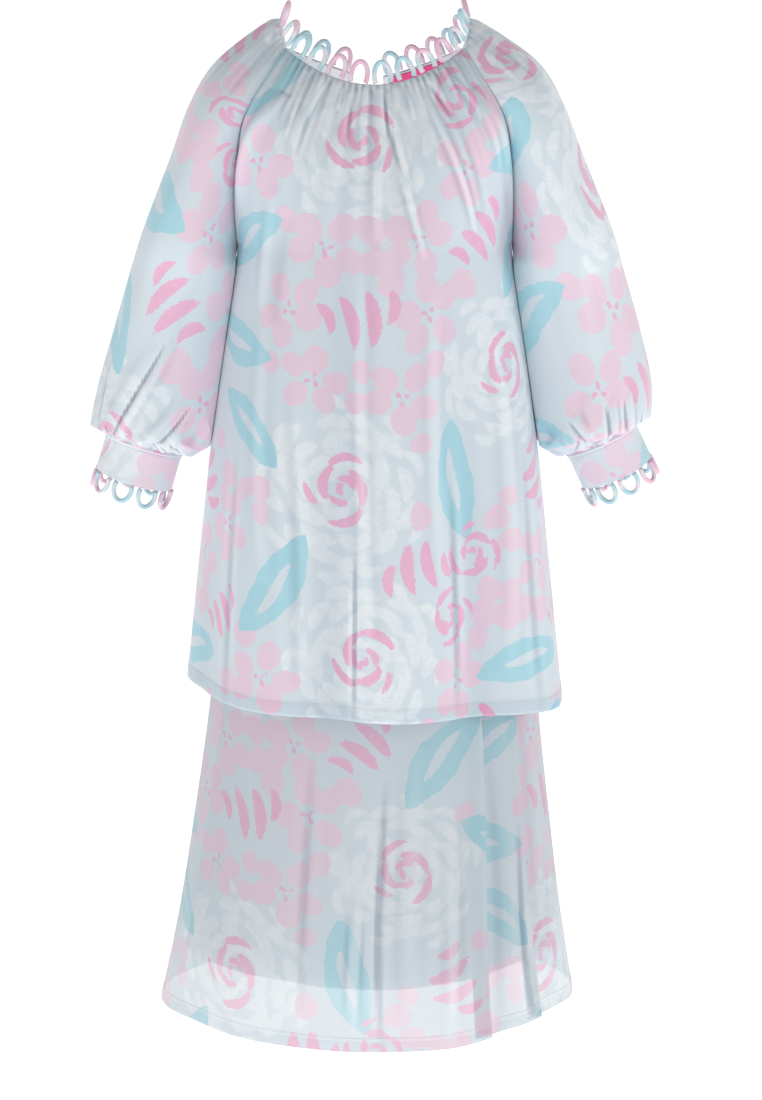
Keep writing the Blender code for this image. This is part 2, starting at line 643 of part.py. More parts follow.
def even_angles(side, count, inset):
    """Angles that part the cuff's lower edge into equal lengths."""
    fine = np.linspace(-math.pi, math.pi, EVEN_ANGLE_STEPS + 1)
    edge = np.array([cuff_point(side, CUFF_HEIGHT, a, inset) for a in fine])
    length = np.concatenate([[0], np.cumsum(np.linalg.norm(np.diff(edge, axis=0), axis=1))])
    places = (np.arange(count) + 0.5) * length[-1] / count
    return np.interp(places, length, fine)


def build_cuffs(finish, cord):
    """Two cuffs, each with its ring of hanging loops."""
    for side, word in SIDES:
        drops = (SEAM, CUFF_HEIGHT / 2, CUFF_HEIGHT)
        angles = np.linspace(-math.pi, math.pi, CUFF_STEPS + 1)
        points = np.array([[cuff_point(side, d, a) for a in angles] for d in drops])
        cloth(f"cuff_{word}", points, finish, [True] * 3, CUFF_WALL, flip=side < 0)
        inset = CUFF_WALL / 2
        down = cuff_frame(side)[1]
        for n, angle in enumerate(even_angles(side, CUFF_LOOPS, inset)):
            foot = cuff_point(side, CUFF_HEIGHT, angle, inset) + down * (SEAM + LOOP_END_REACH)
            ahead = cuff_point(side, CUFF_HEIGHT, angle + LOOP_WAY_ANGLE, inset)
            behind = cuff_point(side, CUFF_HEIGHT, angle - LOOP_WAY_ANGLE, inset)
            path = loop_path(foot, down, unit(ahead - behind), CUFF_LOOP_HALF_WIDTH, CUFF_LOOP_HEIGHT)
            cord_loop(f"cuff_{word}_loop_{n + 1}", path, cord)


def build_neck(facing_finish, cord):
    """The facing inside the neck, and the loops that stand all round it."""
    depth = FACING_DEPTH / NECK_TO_ARMPIT
    rows = (0.0, depth / 2, depth)
    shell = neck_line(rows)
    inward = -normals(shell)
    cloth("neck_facing", shell + inward * (CLOTH + FACING_GAP), facing_finish)
    line = (shell + inward * (CLOTH + FACING_GAP / 2))[0]
    length = np.concatenate([[0], np.cumsum(np.linalg.norm(np.diff(line, axis=0), axis=1))])
    for n in range(NECK_LOOPS):
        at = (n + 0.5) * length[-1] / NECK_LOOPS
        foot, ahead, behind = (
            np.array([np.interp(at + d, length, line[:, k]) for k in range(3)])
            for d in (0.0, NECK_LOOP_PITCH, -NECK_LOOP_PITCH)
        )
        sideways = unit(ahead - behind)
        below = np.array([np.interp(at, length, shell[2][:, k]) for k in range(3)])
        climb = unit(foot - below)
        up = unit(np.array([0, 0, 1.0]) + LOOP_LEAN * climb)
        up = unit(up - sideways * (up @ sideways))
        under_end = np.array([LOOP_FOOT - 2 * CORD_RADIUS, LOOP_FOOT - CORD_RADIUS, LOOP_FOOT])
        span = np.concatenate([at - under_end, at + under_end])
        edge = np.stack([np.interp(span, length, shell[0][:, k]) for k in range(3)], axis=1)
        foot = foot + up * (SEAM + LOOP_END_REACH + max(0.0, ((edge - foot) @ up).max()))
        path = loop_path(foot, up, sideways, NECK_LOOP_HALF_WIDTH, NECK_LOOP_HEIGHT)
        cord_loop(f"neck_loop_{n + 1}", path, cord)


def build_label(finish):
    """The label: a patch of the left back's inner face, hung inside the facing beside the opening."""
    rows = np.linspace(LABEL_BELOW_NECK, LABEL_BELOW_NECK + LABEL_DROP, 3) / NECK_TO_ARMPIT
    panel = back_points(rows, BACK_COLUMNS, 1, plain=True)
    reached = np.linalg.norm(np.diff(panel[0], axis=0), axis=1).cumsum()
    columns = slice(1, int(np.searchsorted(reached, LABEL_WIDTH)) + 1)
    inward = normals(panel)[:, columns]
    cloth("neck_label", panel[:, columns] + inward * 2 * (CLOTH + FACING_GAP), finish, flip=True)


def build_skirt(finish, lining_finish):
    """The skirt's front and back and their linings."""
    cloth("skirt_front", trimmed(skirt_front_points(SKIRT_ROWS, SKIRT_STEPS)), finish)
    cloth("skirt_back", trimmed(skirt_back_points(SKIRT_ROWS, SKIRT_STEPS)), finish, flip=True)
    for word, back in (("front", False), ("back", True)):
        points = trimmed(lining_points(LINING_ROWS, LINING_STEPS, back), LINING_TRIM)
        cloth(f"lining_{word}", points, lining_finish, flip=back)


def build_waistband(finish):
    """The waistband: a thick oval ring that stands on the skirt's top edge."""
    waist = dict(zip(SKIRT_COLUMNS, SKIRT_SECTIONS[0]))
    angle = np.linspace(-math.pi, math.pi, BAND_STEPS + 1)
    x = waist["half_width"] * np.sin(angle)
    y = np.where(np.cos(angle) > 0, waist["front_y"], -waist["back_y"]) * np.cos(angle)
    bottom = waist["height"] + 2 * SEAM
    rings = [np.stack([x, y, np.full_like(x, z)], axis=1) for z in (bottom + WAISTBAND_HEIGHT, bottom)]
    cloth("skirt_waistband", np.array(rings), finish, [True, True], WAISTBAND_WALL)


for leftover in list(bpy.data.objects):
    bpy.data.objects.remove(leftover, do_unlink=True)
garment = bpy.data.collections.new("baju_kurung")
bpy.context.scene.collection.children.link(garment)

printed_cloth = material("printed_cloth", CLOTH_COLOUR, 0.65)
lining_cloth = material("lining_cloth", LINING_COLOUR, 0.7)
label_satin = material("label_satin", LABEL_COLOUR, 0.45)
cord_cloth = material("cord_cloth", CORD_COLOUR, 0.65)

build_tunic(printed_cloth)
build_sleeves(printed_cloth)
build_cuffs(printed_cloth, cord_cloth)
build_neck(lining_cloth, cord_cloth)
build_label(label_satin)
build_skirt(printed_cloth, lining_cloth)
build_waistband(printed_cloth)
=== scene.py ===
"""The looks of a child's baju kurung: a printed satin chiffon tunic over a long lined skirt.

Metres, +Z up. The front faces -Y, so +X is the wearer's left, and left and right are the wearer's.
"""

import math

import bpy
import numpy as np
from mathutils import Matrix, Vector


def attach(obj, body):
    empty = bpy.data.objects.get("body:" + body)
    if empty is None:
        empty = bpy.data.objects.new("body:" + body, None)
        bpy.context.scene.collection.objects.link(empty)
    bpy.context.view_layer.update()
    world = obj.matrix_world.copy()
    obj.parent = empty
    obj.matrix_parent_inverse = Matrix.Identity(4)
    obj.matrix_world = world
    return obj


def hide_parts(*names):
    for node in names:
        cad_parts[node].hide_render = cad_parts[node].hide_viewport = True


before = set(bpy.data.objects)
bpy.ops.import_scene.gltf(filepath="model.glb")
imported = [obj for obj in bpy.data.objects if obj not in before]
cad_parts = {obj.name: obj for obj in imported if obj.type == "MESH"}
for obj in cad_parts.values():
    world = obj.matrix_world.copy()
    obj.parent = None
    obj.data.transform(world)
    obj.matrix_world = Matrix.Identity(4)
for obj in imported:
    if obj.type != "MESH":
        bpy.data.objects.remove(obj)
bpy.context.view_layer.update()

# The studio: a plain white floor far below the hem, which curves up behind the set, an even white
# sky and soft lights, given by place, target, size in metres and power in watts. The camera stands
# at the photo's height and distance and looks a little down at the set.

CAMERA_PLACE = (0.0055, -2.10, -0.02)
CAMERA_DOWN = 11.7
FOCAL_PIXELS = 2415
PICTURE_HEIGHT = 1100
SENSOR = 36
FLOOR_HEIGHT = -3.0
FLOOR_HALF = 30.0
FLOOR_RISE = 20.0
FLOOR_STEPS = 60
FLOOR_GLOW = 0.65
SKY_STRENGTH = 0.40
LIGHTS = (
    ((2.5, -0.55, 0.2), (0.0, 0.0, -0.45), 0.7, 15.0),
    ((-2.4, -1.3, 0.5), (0.0, 0.0, -0.45), 1.0, 10.5),
    ((0.0, 2.2, 1.6), (0.0, 0.0, -0.2), 1.6, 12.0),
    ((0.0, -1.9, -1.5), (0.0, 0.0, -0.90), 0.8, 9.5),
)
# A weak light inside the tunic stands in for the light that comes through its thin cloth.
INNER_LIGHT = ((0.0, -0.02, -0.11), (0.0, 0.075, -0.045), 0.10, 0.09)


def ease(low, high, at):
    """Rises from 0 at low to 1 at high, level at both ends."""
    t = np.clip((at - low) / (high - low), 0, 1)
    return t * t * (3 - 2 * t)


def paint(red, green, blue):
    """A screen colour from 0 to 255 as the linear colour that a shader takes."""
    screen = np.array([red, green, blue]) / 255
    linear = np.where(screen <= 0.04045, screen / 12.92, ((screen + 0.055) / 1.055) ** 2.4)
    return (*linear.tolist(), 1.0)


def plain_material(name, colour, roughness):
    """A material with its Principled shader, ready for more nodes."""
    made = bpy.data.materials.new(name)
    made.use_nodes = True
    shader = made.node_tree.nodes["Principled BSDF"]
    shader.inputs["Base Color"].default_value = colour
    shader.inputs["Roughness"].default_value = roughness
    return made


def grid_mesh(name, points, flip=False):
    """A mesh from a grid of points: each square of four neighbours is one face."""
    rows, columns = points.shape[:2]
    index = np.arange(rows * columns).reshape(rows, columns)
    corners = [index[:-1, :-1], index[1:, :-1], index[1:, 1:], index[:-1, 1:]]
    faces = np.stack(corners[::-1] if flip else corners, axis=-1).reshape(-1, 4)
    mesh = bpy.data.meshes.new(name)
    mesh.from_pydata(points.reshape(-1, 3), [], faces)
    mesh.shade_smooth()
    return mesh


def add_piece(name, mesh, finish):
    """Puts a mesh into the scene as a named piece."""
    mesh.materials.append(finish)
    made = bpy.data.objects.new(name, mesh)
    bpy.context.scene.collection.objects.link(made)
    return made


def studio():
    """The floor, sky, lights and camera."""
    along = np.linspace(-FLOOR_HALF, FLOOR_HALF, FLOOR_STEPS + 1)
    across, along = np.meshgrid(np.linspace(-FLOOR_HALF, FLOOR_HALF, 3), along)
    rise = FLOOR_RISE * ease(FLOOR_HALF / 3, FLOOR_HALF, along)
    floor_points = np.stack([across, along, FLOOR_HEIGHT + rise], axis=2)[::-1]
    white_floor = plain_material("white_floor", (1, 1, 1, 1), 0.9)
    shader = white_floor.node_tree.nodes["Principled BSDF"]
    shader.inputs["Emission Color"].default_value = (1, 1, 1, 1)
    shader.inputs["Emission Strength"].default_value = FLOOR_GLOW
    floor = add_piece("floor", grid_mesh("floor", floor_points), white_floor)
    sky = bpy.data.worlds.new("white_sky")
    sky.use_nodes = True
    sky.node_tree.nodes["Background"].inputs["Color"].default_value = (1, 1, 1, 1)
    sky.node_tree.nodes["Background"].inputs["Strength"].default_value = SKY_STRENGTH
    bpy.context.scene.world = sky
    for n, (place, target, size, power) in enumerate((*LIGHTS, INNER_LIGHT)):
        data = bpy.data.lights.new(f"soft_light_{n}", "AREA")
        data.energy = power
        data.size = size
        lamp = bpy.data.objects.new(f"soft_light_{n}", data)
        lamp.location = place
        lamp.rotation_euler = (Vector(target) - Vector(place)).to_track_quat("-Z", "Y").to_euler()
        lamp.visible_camera = False
        bpy.context.scene.collection.objects.link(lamp)
    data = bpy.data.cameras.new("camera")
    data.sensor_width = SENSOR
    data.sensor_fit = "AUTO"
    data.lens = FOCAL_PIXELS / PICTURE_HEIGHT * SENSOR
    camera = bpy.data.objects.new("camera", data)
    camera.location = CAMERA_PLACE
    camera.rotation_euler = (math.radians(90 - CAMERA_DOWN), 0, 0)
    bpy.context.scene.collection.objects.link(camera)
    bpy.context.scene.camera = camera
    bpy.context.scene.view_settings.view_transform = "Standard"


studio()

# The tunic's front: one panel of printed satin chiffon, gathered into the neckline and cut on the
# raglan seams. Rows run from 0 at the neck to 1 at the armpit and 2 at the hem.

NECK_TO_ARMPIT = 0.150
ARMPIT_TO_HEM = 0.390
TRUNK_COLUMNS = ("along", "mid_z", "front_y", "back_y", "arc", "side_x", "side_y")
TRUNK_SECTIONS = (
    (0.00, -0.048, -0.066, 0.060, 56, 0.0755, 0.000),
    (0.16, -0.064, -0.075, 0.071, 60, 0.0860, 0.000),
    (0.36, -0.086, -0.083, 0.080, 66, 0.1010, 0.000),
    (0.58, -0.112, -0.090, 0.086, 74, 0.1120, 0.002),
    (0.80, -0.146, -0.095, 0.091, 83, 0.1170, 0.004),
    (1.00, -0.185, -0.099, 0.095, 90, 0.1185, 0.006),
    (1.18, -0.250, -0.105, 0.099, 90, 0.1285, 0.006),
    (1.42, -0.345, -0.114, 0.106, 90, 0.1420, 0.005),
    (1.70, -0.457, -0.124, 0.116, 90, 0.1550, 0.004),
    (2.00, -0.575, -0.135, 0.127, 90, 0.1680, 0.003),
)
FRONT_DIP = 2.0
BACK_DIP = 1.4
BACK_NECK_RISE = 0.005
HEM_RISE_RIGHT = 0.0075
HEM_DROP_LEFT = 0.0115
SLEEVE_COLUMNS = (
    "along", "outer_x", "outer_z", "inner_x", "inner_z", "half_depth", "opening", "mid_y",
    "wider", "lower",
)
SLEEVE_SECTIONS = (
    (0.00, 0.0810, 0.0065, 0.0755, -0.0180, 0.0325, 68, 0.000, -0.0015, 0.000),
    (0.16, 0.1080, -0.0090, 0.0860, -0.0350, 0.0450, 82, 0.000, -0.0010, 0.000),
    (0.36, 0.1410, -0.0330, 0.1010, -0.0590, 0.0550, 98, 0.000, -0.0040, 0.000),
    (0.58, 0.1620, -0.0670, 0.1120, -0.0850, 0.0600, 118, 0.002, -0.0035, 0.000),
    (0.80, 0.1800, -0.1110, 0.1170, -0.1280, 0.0610, 146, 0.004, -0.0045, 0.000),
    (1.00, 0.2050, -0.1700, 0.1188, -0.1850, 0.0590, 180, 0.006, -0.0055, 0.000),
    (1.22, 0.2185, -0.2120, 0.1190, -0.2300, 0.0570, 180, 0.014, -0.0045, 0.000),
    (1.46, 0.2345, -0.2650, 0.1270, -0.2900, 0.0580, 180, 0.020, -0.0040, 0.000),
    (1.66, 0.2440, -0.3080, 0.1340, -0.3330, 0.0590, 180, 0.022, 0.0000, 0.002),
    (1.80, 0.2435, -0.3320, 0.1420, -0.3560, 0.0560, 180, 0.020, 0.0060, 0.005),
    (1.90, 0.2400, -0.3420, 0.1540, -0.3680, 0.0470, 180, 0.016, 0.0095, 0.008),
    (1.96, 0.2355, -0.3445, 0.1650, -0.3735, 0.0360, 180, 0.012, 0.0080, 0.008),
    (2.00, 0.2310, -0.3440, 0.1715, -0.3725, 0.0285, 180, 0.010, 0.0060, 0.008),
)
FOLD_COLUMNS = ("top", "bottom", "width", "height", "start")
FRONT_FOLDS = (
    (-0.42, -0.42, 0.17, 0.009, 0.7),
    (-0.12, -0.15, 0.11, -0.010, 0.5),
    (0.05, 0.08, 0.16, 0.013, 0.2),
    (0.34, 0.38, 0.13, -0.013, 0.8),
    (0.62, 0.68, 0.15, 0.009, 0.9),
    (-0.74, -0.76, 0.12, -0.005, 1.0),
)
RIDGE_COLUMNS = ("across_start", "across_end", "start", "end", "width", "height")
RIDGES = (
    (-0.73, -0.93, 0.25, 1.00, 0.09, 0.0090),
    (0.84, 0.95, 0.25, 1.00, 0.07, 0.0050),
)
RIDGE_FULLNESS = 0.7
GATHER_HEIGHT = 0.0032
GATHER_RUN = 0.060
GATHER_RISE = 0.010
FINE_GATHER_HEIGHT = 0.0021
FINE_GATHER_RUN = 0.026
FINE_GATHER_RISE = 0.004
CHIFFON = 0.0005
SPACING = 0.0027
EDGE_ROLL = 0.0007
EDGE_ROLL_WIDTH = 0.0016

# Creases of the front: a start and an end in metres across and below the neck's middle, how far the
# middle bows sideways, and the crease's half width and height. A trough has a negative height.
CREASE_COLUMNS = ("u0", "v0", "u1", "v1", "bow", "width", "height")
CREASE_DEPTH = 1.35
CREASE_FULLNESS = 0.9
FRONT_CREASES = (
    (-0.056, -0.004, -0.075, 0.045, 0.001, 0.0020, 0.0012),
    (-0.064, -0.002, -0.082, 0.030, 0.001, 0.0022, -0.0010),
    (-0.040, -0.001, -0.056, 0.028, 0.001, 0.0019, 0.0012),
    (-0.046, 0.004, -0.066, 0.060, 0.001, 0.0028, -0.0010),
    (-0.025, 0.000, -0.031, 0.022, 0.000, 0.0018, 0.0010),
    (-0.018, 0.000, -0.022, 0.046, 0.000, 0.0022, -0.0011),
    (-0.007, 0.001, -0.008, 0.070, 0.001, 0.0032, 0.0012),
    (0.007, 0.001, 0.012, 0.046, 0.000, 0.0017, -0.0019),
    (0.011, 0.030, 0.032, 0.095, 0.001, 0.0028, -0.0010),
    (0.013, 0.005, 0.043, 0.145, 0.003, 0.0036, 0.0017),
    (0.026, 0.001, 0.034, 0.030, 0.000, 0.0020, 0.0010),
    (0.039, 0.004, 0.092, 0.125, -0.003, 0.0034, 0.0024),
    (0.044, -0.002, 0.066, 0.030, -0.001, 0.0026, -0.0021),
    (0.058, 0.008, 0.100, 0.110, -0.003, 0.0040, -0.0012),
    (0.066, -0.006, 0.092, 0.030, -0.002, 0.0022, 0.0012),
    (0.090, 0.016, 0.116, 0.074, -0.002, 0.0030, 0.0013),
    (0.003, 0.055, 0.004, 0.130, 0.001, 0.0045, 0.0014),
    (-0.086, 0.085, -0.104, 0.190, 0.004, 0.0075, 0.0020),
    (-0.074, 0.105, -0.088, 0.200, 0.004, 0.0085, -0.0018),
    (-0.010, 0.140, -0.002, 0.500, 0.004, 0.0060, 0.0016),
    (-0.017, 0.380, -0.016, 0.535, 0.000, 0.0020, -0.0010),
    (0.052, 0.160, 0.060, 0.420, 0.006, 0.0080, 0.0018),
    (0.066, 0.310, 0.074, 0.530, -0.003, 0.0055, -0.0015),
    (-0.098, 0.180, -0.092, 0.420, 0.005, 0.0090, 0.0018),
    (-0.076, 0.240, -0.070, 0.500, -0.004, 0.0070, -0.0013),
    (-0.130, 0.300, -0.136, 0.530, 0.004, 0.0070, -0.0016),
    (0.112, 0.200, 0.128, 0.500, -0.006, 0.0080, 0.0020),
    (0.144, 0.300, 0.158, 0.540, 0.003, 0.0060, -0.0014),
)


def smooth(columns, rows, name, at):
    """Reads a column at any place: a cubic whose slope at a row comes from the rows beside it."""
    table = np.array(rows, float)
    if table[0, 0] > table[-1, 0]:
        table = table[::-1]
    x, y = table[:, 0], table[:, columns.index(name)]
    slope = np.gradient(y, x)
    at = np.asarray(at, float)
    i = np.clip(np.searchsorted(x, at, side="right") - 1, 0, len(x) - 2)
    step = x[i + 1] - x[i]
    t = (at - x[i]) / step
    near = (1 + 2 * t) * (1 - t) ** 2 * y[i] + t * (1 - t) ** 2 * step * slope[i]
    far = t * t * (3 - 2 * t) * y[i + 1] + t * t * (t - 1) * step * slope[i + 1]
    return near + far


def normals(points):
    """Unit normals of a grid: the cross of its steps down and its steps across."""
    normal = np.cross(np.gradient(points, axis=0), np.gradient(points, axis=1))
    return normal / np.maximum(np.linalg.norm(normal, axis=2, keepdims=True), 1e-12)


def trunk_edge(along, back):
    """The panel's edge: the raglan seam above the armpit, and the side seam below it."""
    high = np.minimum(along, 1.0)
    sleeve = {name: smooth(SLEEVE_COLUMNS, SLEEVE_SECTIONS, name, high) for name in SLEEVE_COLUMNS}
    turn = 1 if back else -1
    seam_y = sleeve["mid_y"] + turn * sleeve["half_depth"] * np.sin(np.radians(sleeve["opening"]))
    raglan = along < 1.0
    x = np.where(raglan, sleeve["inner_x"], smooth(TRUNK_COLUMNS, TRUNK_SECTIONS, "side_x", along))
    y = np.where(raglan, seam_y, smooth(TRUNK_COLUMNS, TRUNK_SECTIONS, "side_y", along))
    z = np.where(raglan, sleeve["inner_z"], smooth(TRUNK_COLUMNS, TRUNK_SECTIONS, "mid_z", along))
    return x, y, z


def trunk(along, across, back=False):
    """A trunk panel's smooth form: each row is an oval arc from edge to edge, across -1 to 1.

    Its width goes with the sine and its depth with the cosine of the angle round it, and its height
    goes from the middle's to the edge's with a power of the width.
    """
    along = np.asarray(along, float)[:, None]
    across = np.broadcast_to(across, (len(along), np.shape(across)[-1]))
    x_edge, y_edge, z_edge = trunk_edge(along, back)
    mid_y = smooth(TRUNK_COLUMNS, TRUNK_SECTIONS, "back_y" if back else "front_y", along)
    mid_z = smooth(TRUNK_COLUMNS, TRUNK_SECTIONS, "mid_z", along)
    if back:
        mid_z = mid_z + BACK_NECK_RISE * (1 - ease(0.0, 1.0, along))
    arc = np.radians(smooth(TRUNK_COLUMNS, TRUNK_SECTIONS, "arc", along))
    share = np.sin(across * arc) / np.sin(arc)
    y = y_edge + (mid_y - y_edge) * (np.cos(across * arc) - np.cos(arc)) / (1 - np.cos(arc))
    slant = np.where(across < 0, HEM_RISE_RIGHT, -HEM_DROP_LEFT)
    z_edge = z_edge + slant * ease(1.0, 2.0, along)
    z = mid_z + (z_edge - mid_z) * np.abs(share) ** (BACK_DIP if back else FRONT_DIP)
    return np.stack([x_edge * share, y, z], axis=2)


def gathers(across, distance, count, height, run, turn=0.0, rise=GATHER_RISE):
    """Small folds from a sewn edge: uneven cosine waves along it, which rise from nothing at the
    seam and then die away exponentially."""
    phase = count * (across + 1) / 2 + 0.16 * np.sin(7.3 * across + 1.1 + turn)
    wave = 0.5 - 0.5 * np.cos(2 * math.pi * phase)
    uneven = 0.72 + 0.28 * np.sin(11.0 * across + 0.7 + turn)
    longer = run * (1.0 + 0.5 * np.sin(5.1 * across + 2.0 + turn))
    fade = np.exp(-np.maximum(distance - rise, 0) / longer)
    return height * wave * uneven * fade * ease(0.0, rise, distance)


def fine_gathers(across, distance, count, turn, height=FINE_GATHER_HEIGHT, run=FINE_GATHER_RUN):
    """The many small tucks right at a sewn edge: gathers to a power, so that they are sharper, with
    a run and a height that change along the edge."""
    uneven = 0.5 + 0.5 * np.sin(17.0 * across + 3.0 * turn) * np.sin(5.3 * across + turn)
    runs = run * (0.6 + 0.8 * uneven)
    tucks = gathers(across, distance, count, 1.0, runs, turn, FINE_GATHER_RISE)
    return height * (0.5 + 0.5 * uneven) * tucks ** 1.3


def bell(away, width):
    """A bell curve: e to the power of less the square of how many widths away a place is."""
    return np.exp(-((away / width) ** 2))


def soft_folds(across, along, table):
    """The long folds of a table: bells across, which grow from their starting row to the hem."""
    total = np.zeros(np.broadcast(across, along).shape)
    for row in table:
        fold = dict(zip(FOLD_COLUMNS, row))
        middle = fold["top"] + (fold["bottom"] - fold["top"]) * along / 2
        grown = ease(fold["start"], 2.0, along)
        total += fold["height"] * bell(across - middle, fold["width"]) * grown
    return total


def ridges(across, along):
    """Ridges that run across a panel: bells, which rise and fall along themselves like a sine."""
    total = np.zeros(np.broadcast(across, along).shape)
    for row in RIDGES:
        ridge = dict(zip(RIDGE_COLUMNS, row))
        share = np.clip((along - ridge["start"]) / (ridge["end"] - ridge["start"]), 0, 1)
        middle = ridge["across_start"] + (ridge["across_end"] - ridge["across_start"]) * share
        bump = bell(across - middle, ridge["width"])
        total += ridge["height"] * bump * np.sin(math.pi * share) ** RIDGE_FULLNESS
    return total


def creases(cut, table):
    """Creases on the flat cut: a bell to both sides of a bowed line, like a sine along it."""
    total = np.zeros(cut.shape[:2])
    for row in table:
        crease = dict(zip(CREASE_COLUMNS, row))
        start = np.array([crease["u0"], crease["v0"]])
        way = np.array([crease["u1"], crease["v1"]]) - start
        length = np.hypot(*way)
        way = way / length
        t = (cut - start) @ way / length
        aside = (cut - start) @ np.array([-way[1], way[0]]) - crease["bow"] * 4 * t * (1 - t)
        rise = np.sin(math.pi * np.clip(t, 0, 1)) ** CREASE_FULLNESS
        total += CREASE_DEPTH * crease["height"] * rise * bell(aside, crease["width"])
    return total


def edge_fade(across):
    """Keeps a panel's edges on their seams: 1 less the tenth power of the way to the edge."""
    return 1 - np.abs(across) ** 10


def running(steps):
    """How far each place of a row lies from the row's start: the running sum of its steps."""
    return np.concatenate([np.zeros((len(steps), 1)), np.cumsum(steps, axis=1)], axis=1)


def from_middle(steps):
    """How far each place of a row lies from the row's middle one."""
    reached = running(steps)
    return reached - reached[:, [reached.shape[1] // 2]]


def edge_columns(count):
    """Places from -1 to 1, set closer beside both edges, where the cloth turns into its seams."""
    even = np.linspace(-1, 1, count + 1)
    close = np.array([0.15, 0.4, 0.7]) * 2 / count
    return np.concatenate([[-1], -1 + close, even[1:-1], 1 - close[::-1], [1]])


def roll_in(points, outward):
    """Turns a panel's side edges in towards its seams, as cloth does beside stitching: a bell."""
    from_left = running(np.linalg.norm(np.diff(points, axis=1), axis=2))
    from_right = from_left[:, -1:] - from_left
    drop = bell(from_left, EDGE_ROLL_WIDTH) + bell(from_right, EDGE_ROLL_WIDTH)
    return points - (EDGE_ROLL * drop)[..., None] * outward


def flat_cut(points):
    """Flat places of upright cloth: how far round from the middle column, and how far down."""
    across = from_middle(np.hypot(*np.moveaxis(np.diff(points[..., :2], axis=1), 2, 0)))
    return np.stack([across, points[0, points.shape[1] // 2, 2] - points[..., 2]], axis=2)


def trunk_rows():
    """Row places down a trunk panel at an even distance."""
    high = np.linspace(0, 1, round(NECK_TO_ARMPIT / SPACING) + 1)
    low = np.linspace(1, 2, round(ARMPIT_TO_HEM / SPACING) + 1)
    return np.concatenate([high, low[1:]])


def below_neck(along):
    """How far down the cloth a trunk row lies."""
    return NECK_TO_ARMPIT * np.minimum(along, 1) + ARMPIT_TO_HEM * np.maximum(along - 1, 0)


def front_cloth(along, across):
    """The front panel with its folds, gathers, ridges and creases."""
    base = trunk(along, across)
    rows = np.asarray(along, float)[:, None]
    across = across[None, :]
    lift = soft_folds(across, rows, FRONT_FOLDS) + ridges(across, rows)
    lift += gathers(across, below_neck(rows), 14, GATHER_HEIGHT, GATHER_RUN)
    lift += fine_gathers(across, below_neck(rows), 33, 1.7)
    lift += creases(flat_cut(base), FRONT_CREASES)
    outward = normals(base)
    return roll_in(base + (lift * edge_fade(across))[..., None] * outward, outward)


# The print: pale full flowers with rose hearts, open blush flowers and round dabs, aqua leaves with
# a pale middle, and fans of rose strokes, on pale grey blue. Each is a plain motif in mm round its
# own middle, and all lie on a repeating tile, where they are pushed apart until they share the room.

TILE = np.array([0.37, 0.43])
PRINT_SEED = 21
PUSHES = 600
PUSH = 0.25
OUTSIDE = -9.0


def spread(radii, seed):
    """Places discs on the tile: drawn at random, then any two that overlap push each other off."""
    places = np.random.default_rng(seed).random((len(radii), 2)) * TILE
    alone = 1 - np.eye(len(radii))
    reach = radii[:, None] + radii[None, :]
    for _ in range(PUSHES):
        aside = (places[:, None] - places[None] + TILE / 2) % TILE - TILE / 2
        far = np.hypot(aside[..., 0], aside[..., 1]) + 1e-6
        overlap = np.maximum(reach - far, 0) * alone / far
        places = places + PUSH * np.sum(overlap[..., None] * aside, axis=1)
    return places % TILE


def stroke(near, ends, bow, widths, point=0.7):
    """How far inside a brush stroke a place is, in mm: a bowed line that swells in its middle."""
    start, end = np.array(ends[0], float), np.array(ends[1], float)
    aside = np.array([start[1] - end[1], end[0] - start[0]])
    aside = aside / max(np.hypot(*aside), 1e-9)
    best = np.full(len(near), OUTSIDE)
    for t in np.linspace(0, 1, 9):
        middle = start + (end - start) * t + aside * bow * 4 * t * (1 - t)
        radius = widths[0] + (widths[1] - widths[0]) * math.sin(math.pi * t) ** point
        best = np.maximum(best, radius - np.hypot(near[:, 0] - middle[0], near[:, 1] - middle[1]))
    return best


def bloom_petals(near):
    """A full flower: rings of petals, each one broad bowed stroke, which turn from ring to ring."""
    best = np.full(len(near), OUTSIDE)
    rings = (
        (5, 17, 9, 4.6), (8, 29, 11, 5.4), (10, 42, 13, 5.8), (12, 55, 13, 5.8), (9, 67, 10, 4.4),
    )
    for ring, (count, radius, reach, width) in enumerate(rings):
        for n in range(count):
            turn = 2 * math.pi * (n + 0.37 * ring + 0.16 * math.sin(2.1 * n + ring)) / count
            out = radius + 2.5 * math.sin(3.7 * n + 1.3 * ring)
            span = reach / out * (1.0 + 0.15 * math.sin(5.0 * n))
            lean = 3.5 * math.sin(1.9 * n + 2.0 * ring)
            ways = [(out + s * lean, turn + s * span) for s in (-1, 1)]
            ends = [(far * math.cos(angle), far * math.sin(angle)) for far, angle in ways]
            best = np.maximum(best, stroke(near, ends, -3.6, (2.2, width)))
    return best


def bloom_heart(near):
    """The heart of a full flower: long rose strokes that curl round each other."""
    best = np.full(len(near), OUTSIDE)
    for radius, turn, span, width in (
        (3.5, 0.3, 1.5, 2.8), (9.5, 2.3, 1.05, 3.2), (11.0, 5.3, 0.80, 3.0),
        (17.5, 0.6, 0.85, 4.2), (18.5, 3.1, 0.95, 4.4), (26.5, 1.9, 0.62, 3.6),
        (25.5, 4.7, 0.70, 4.2), (28.0, 0.1, 0.34, 3.0),
    ):
        for t in np.linspace(-span, span, 13):
            out = radius * (1 + 0.13 * t / span)
            wide = 1.1 + (width - 1.1) * math.sin(math.pi * (t / span + 1) / 2) ** 0.7
            x, y = out * math.cos(turn + t), out * math.sin(turn + t)
            best = np.maximum(best, wide - np.hypot(near[:, 0] - x, near[:, 1] - y))
    return best


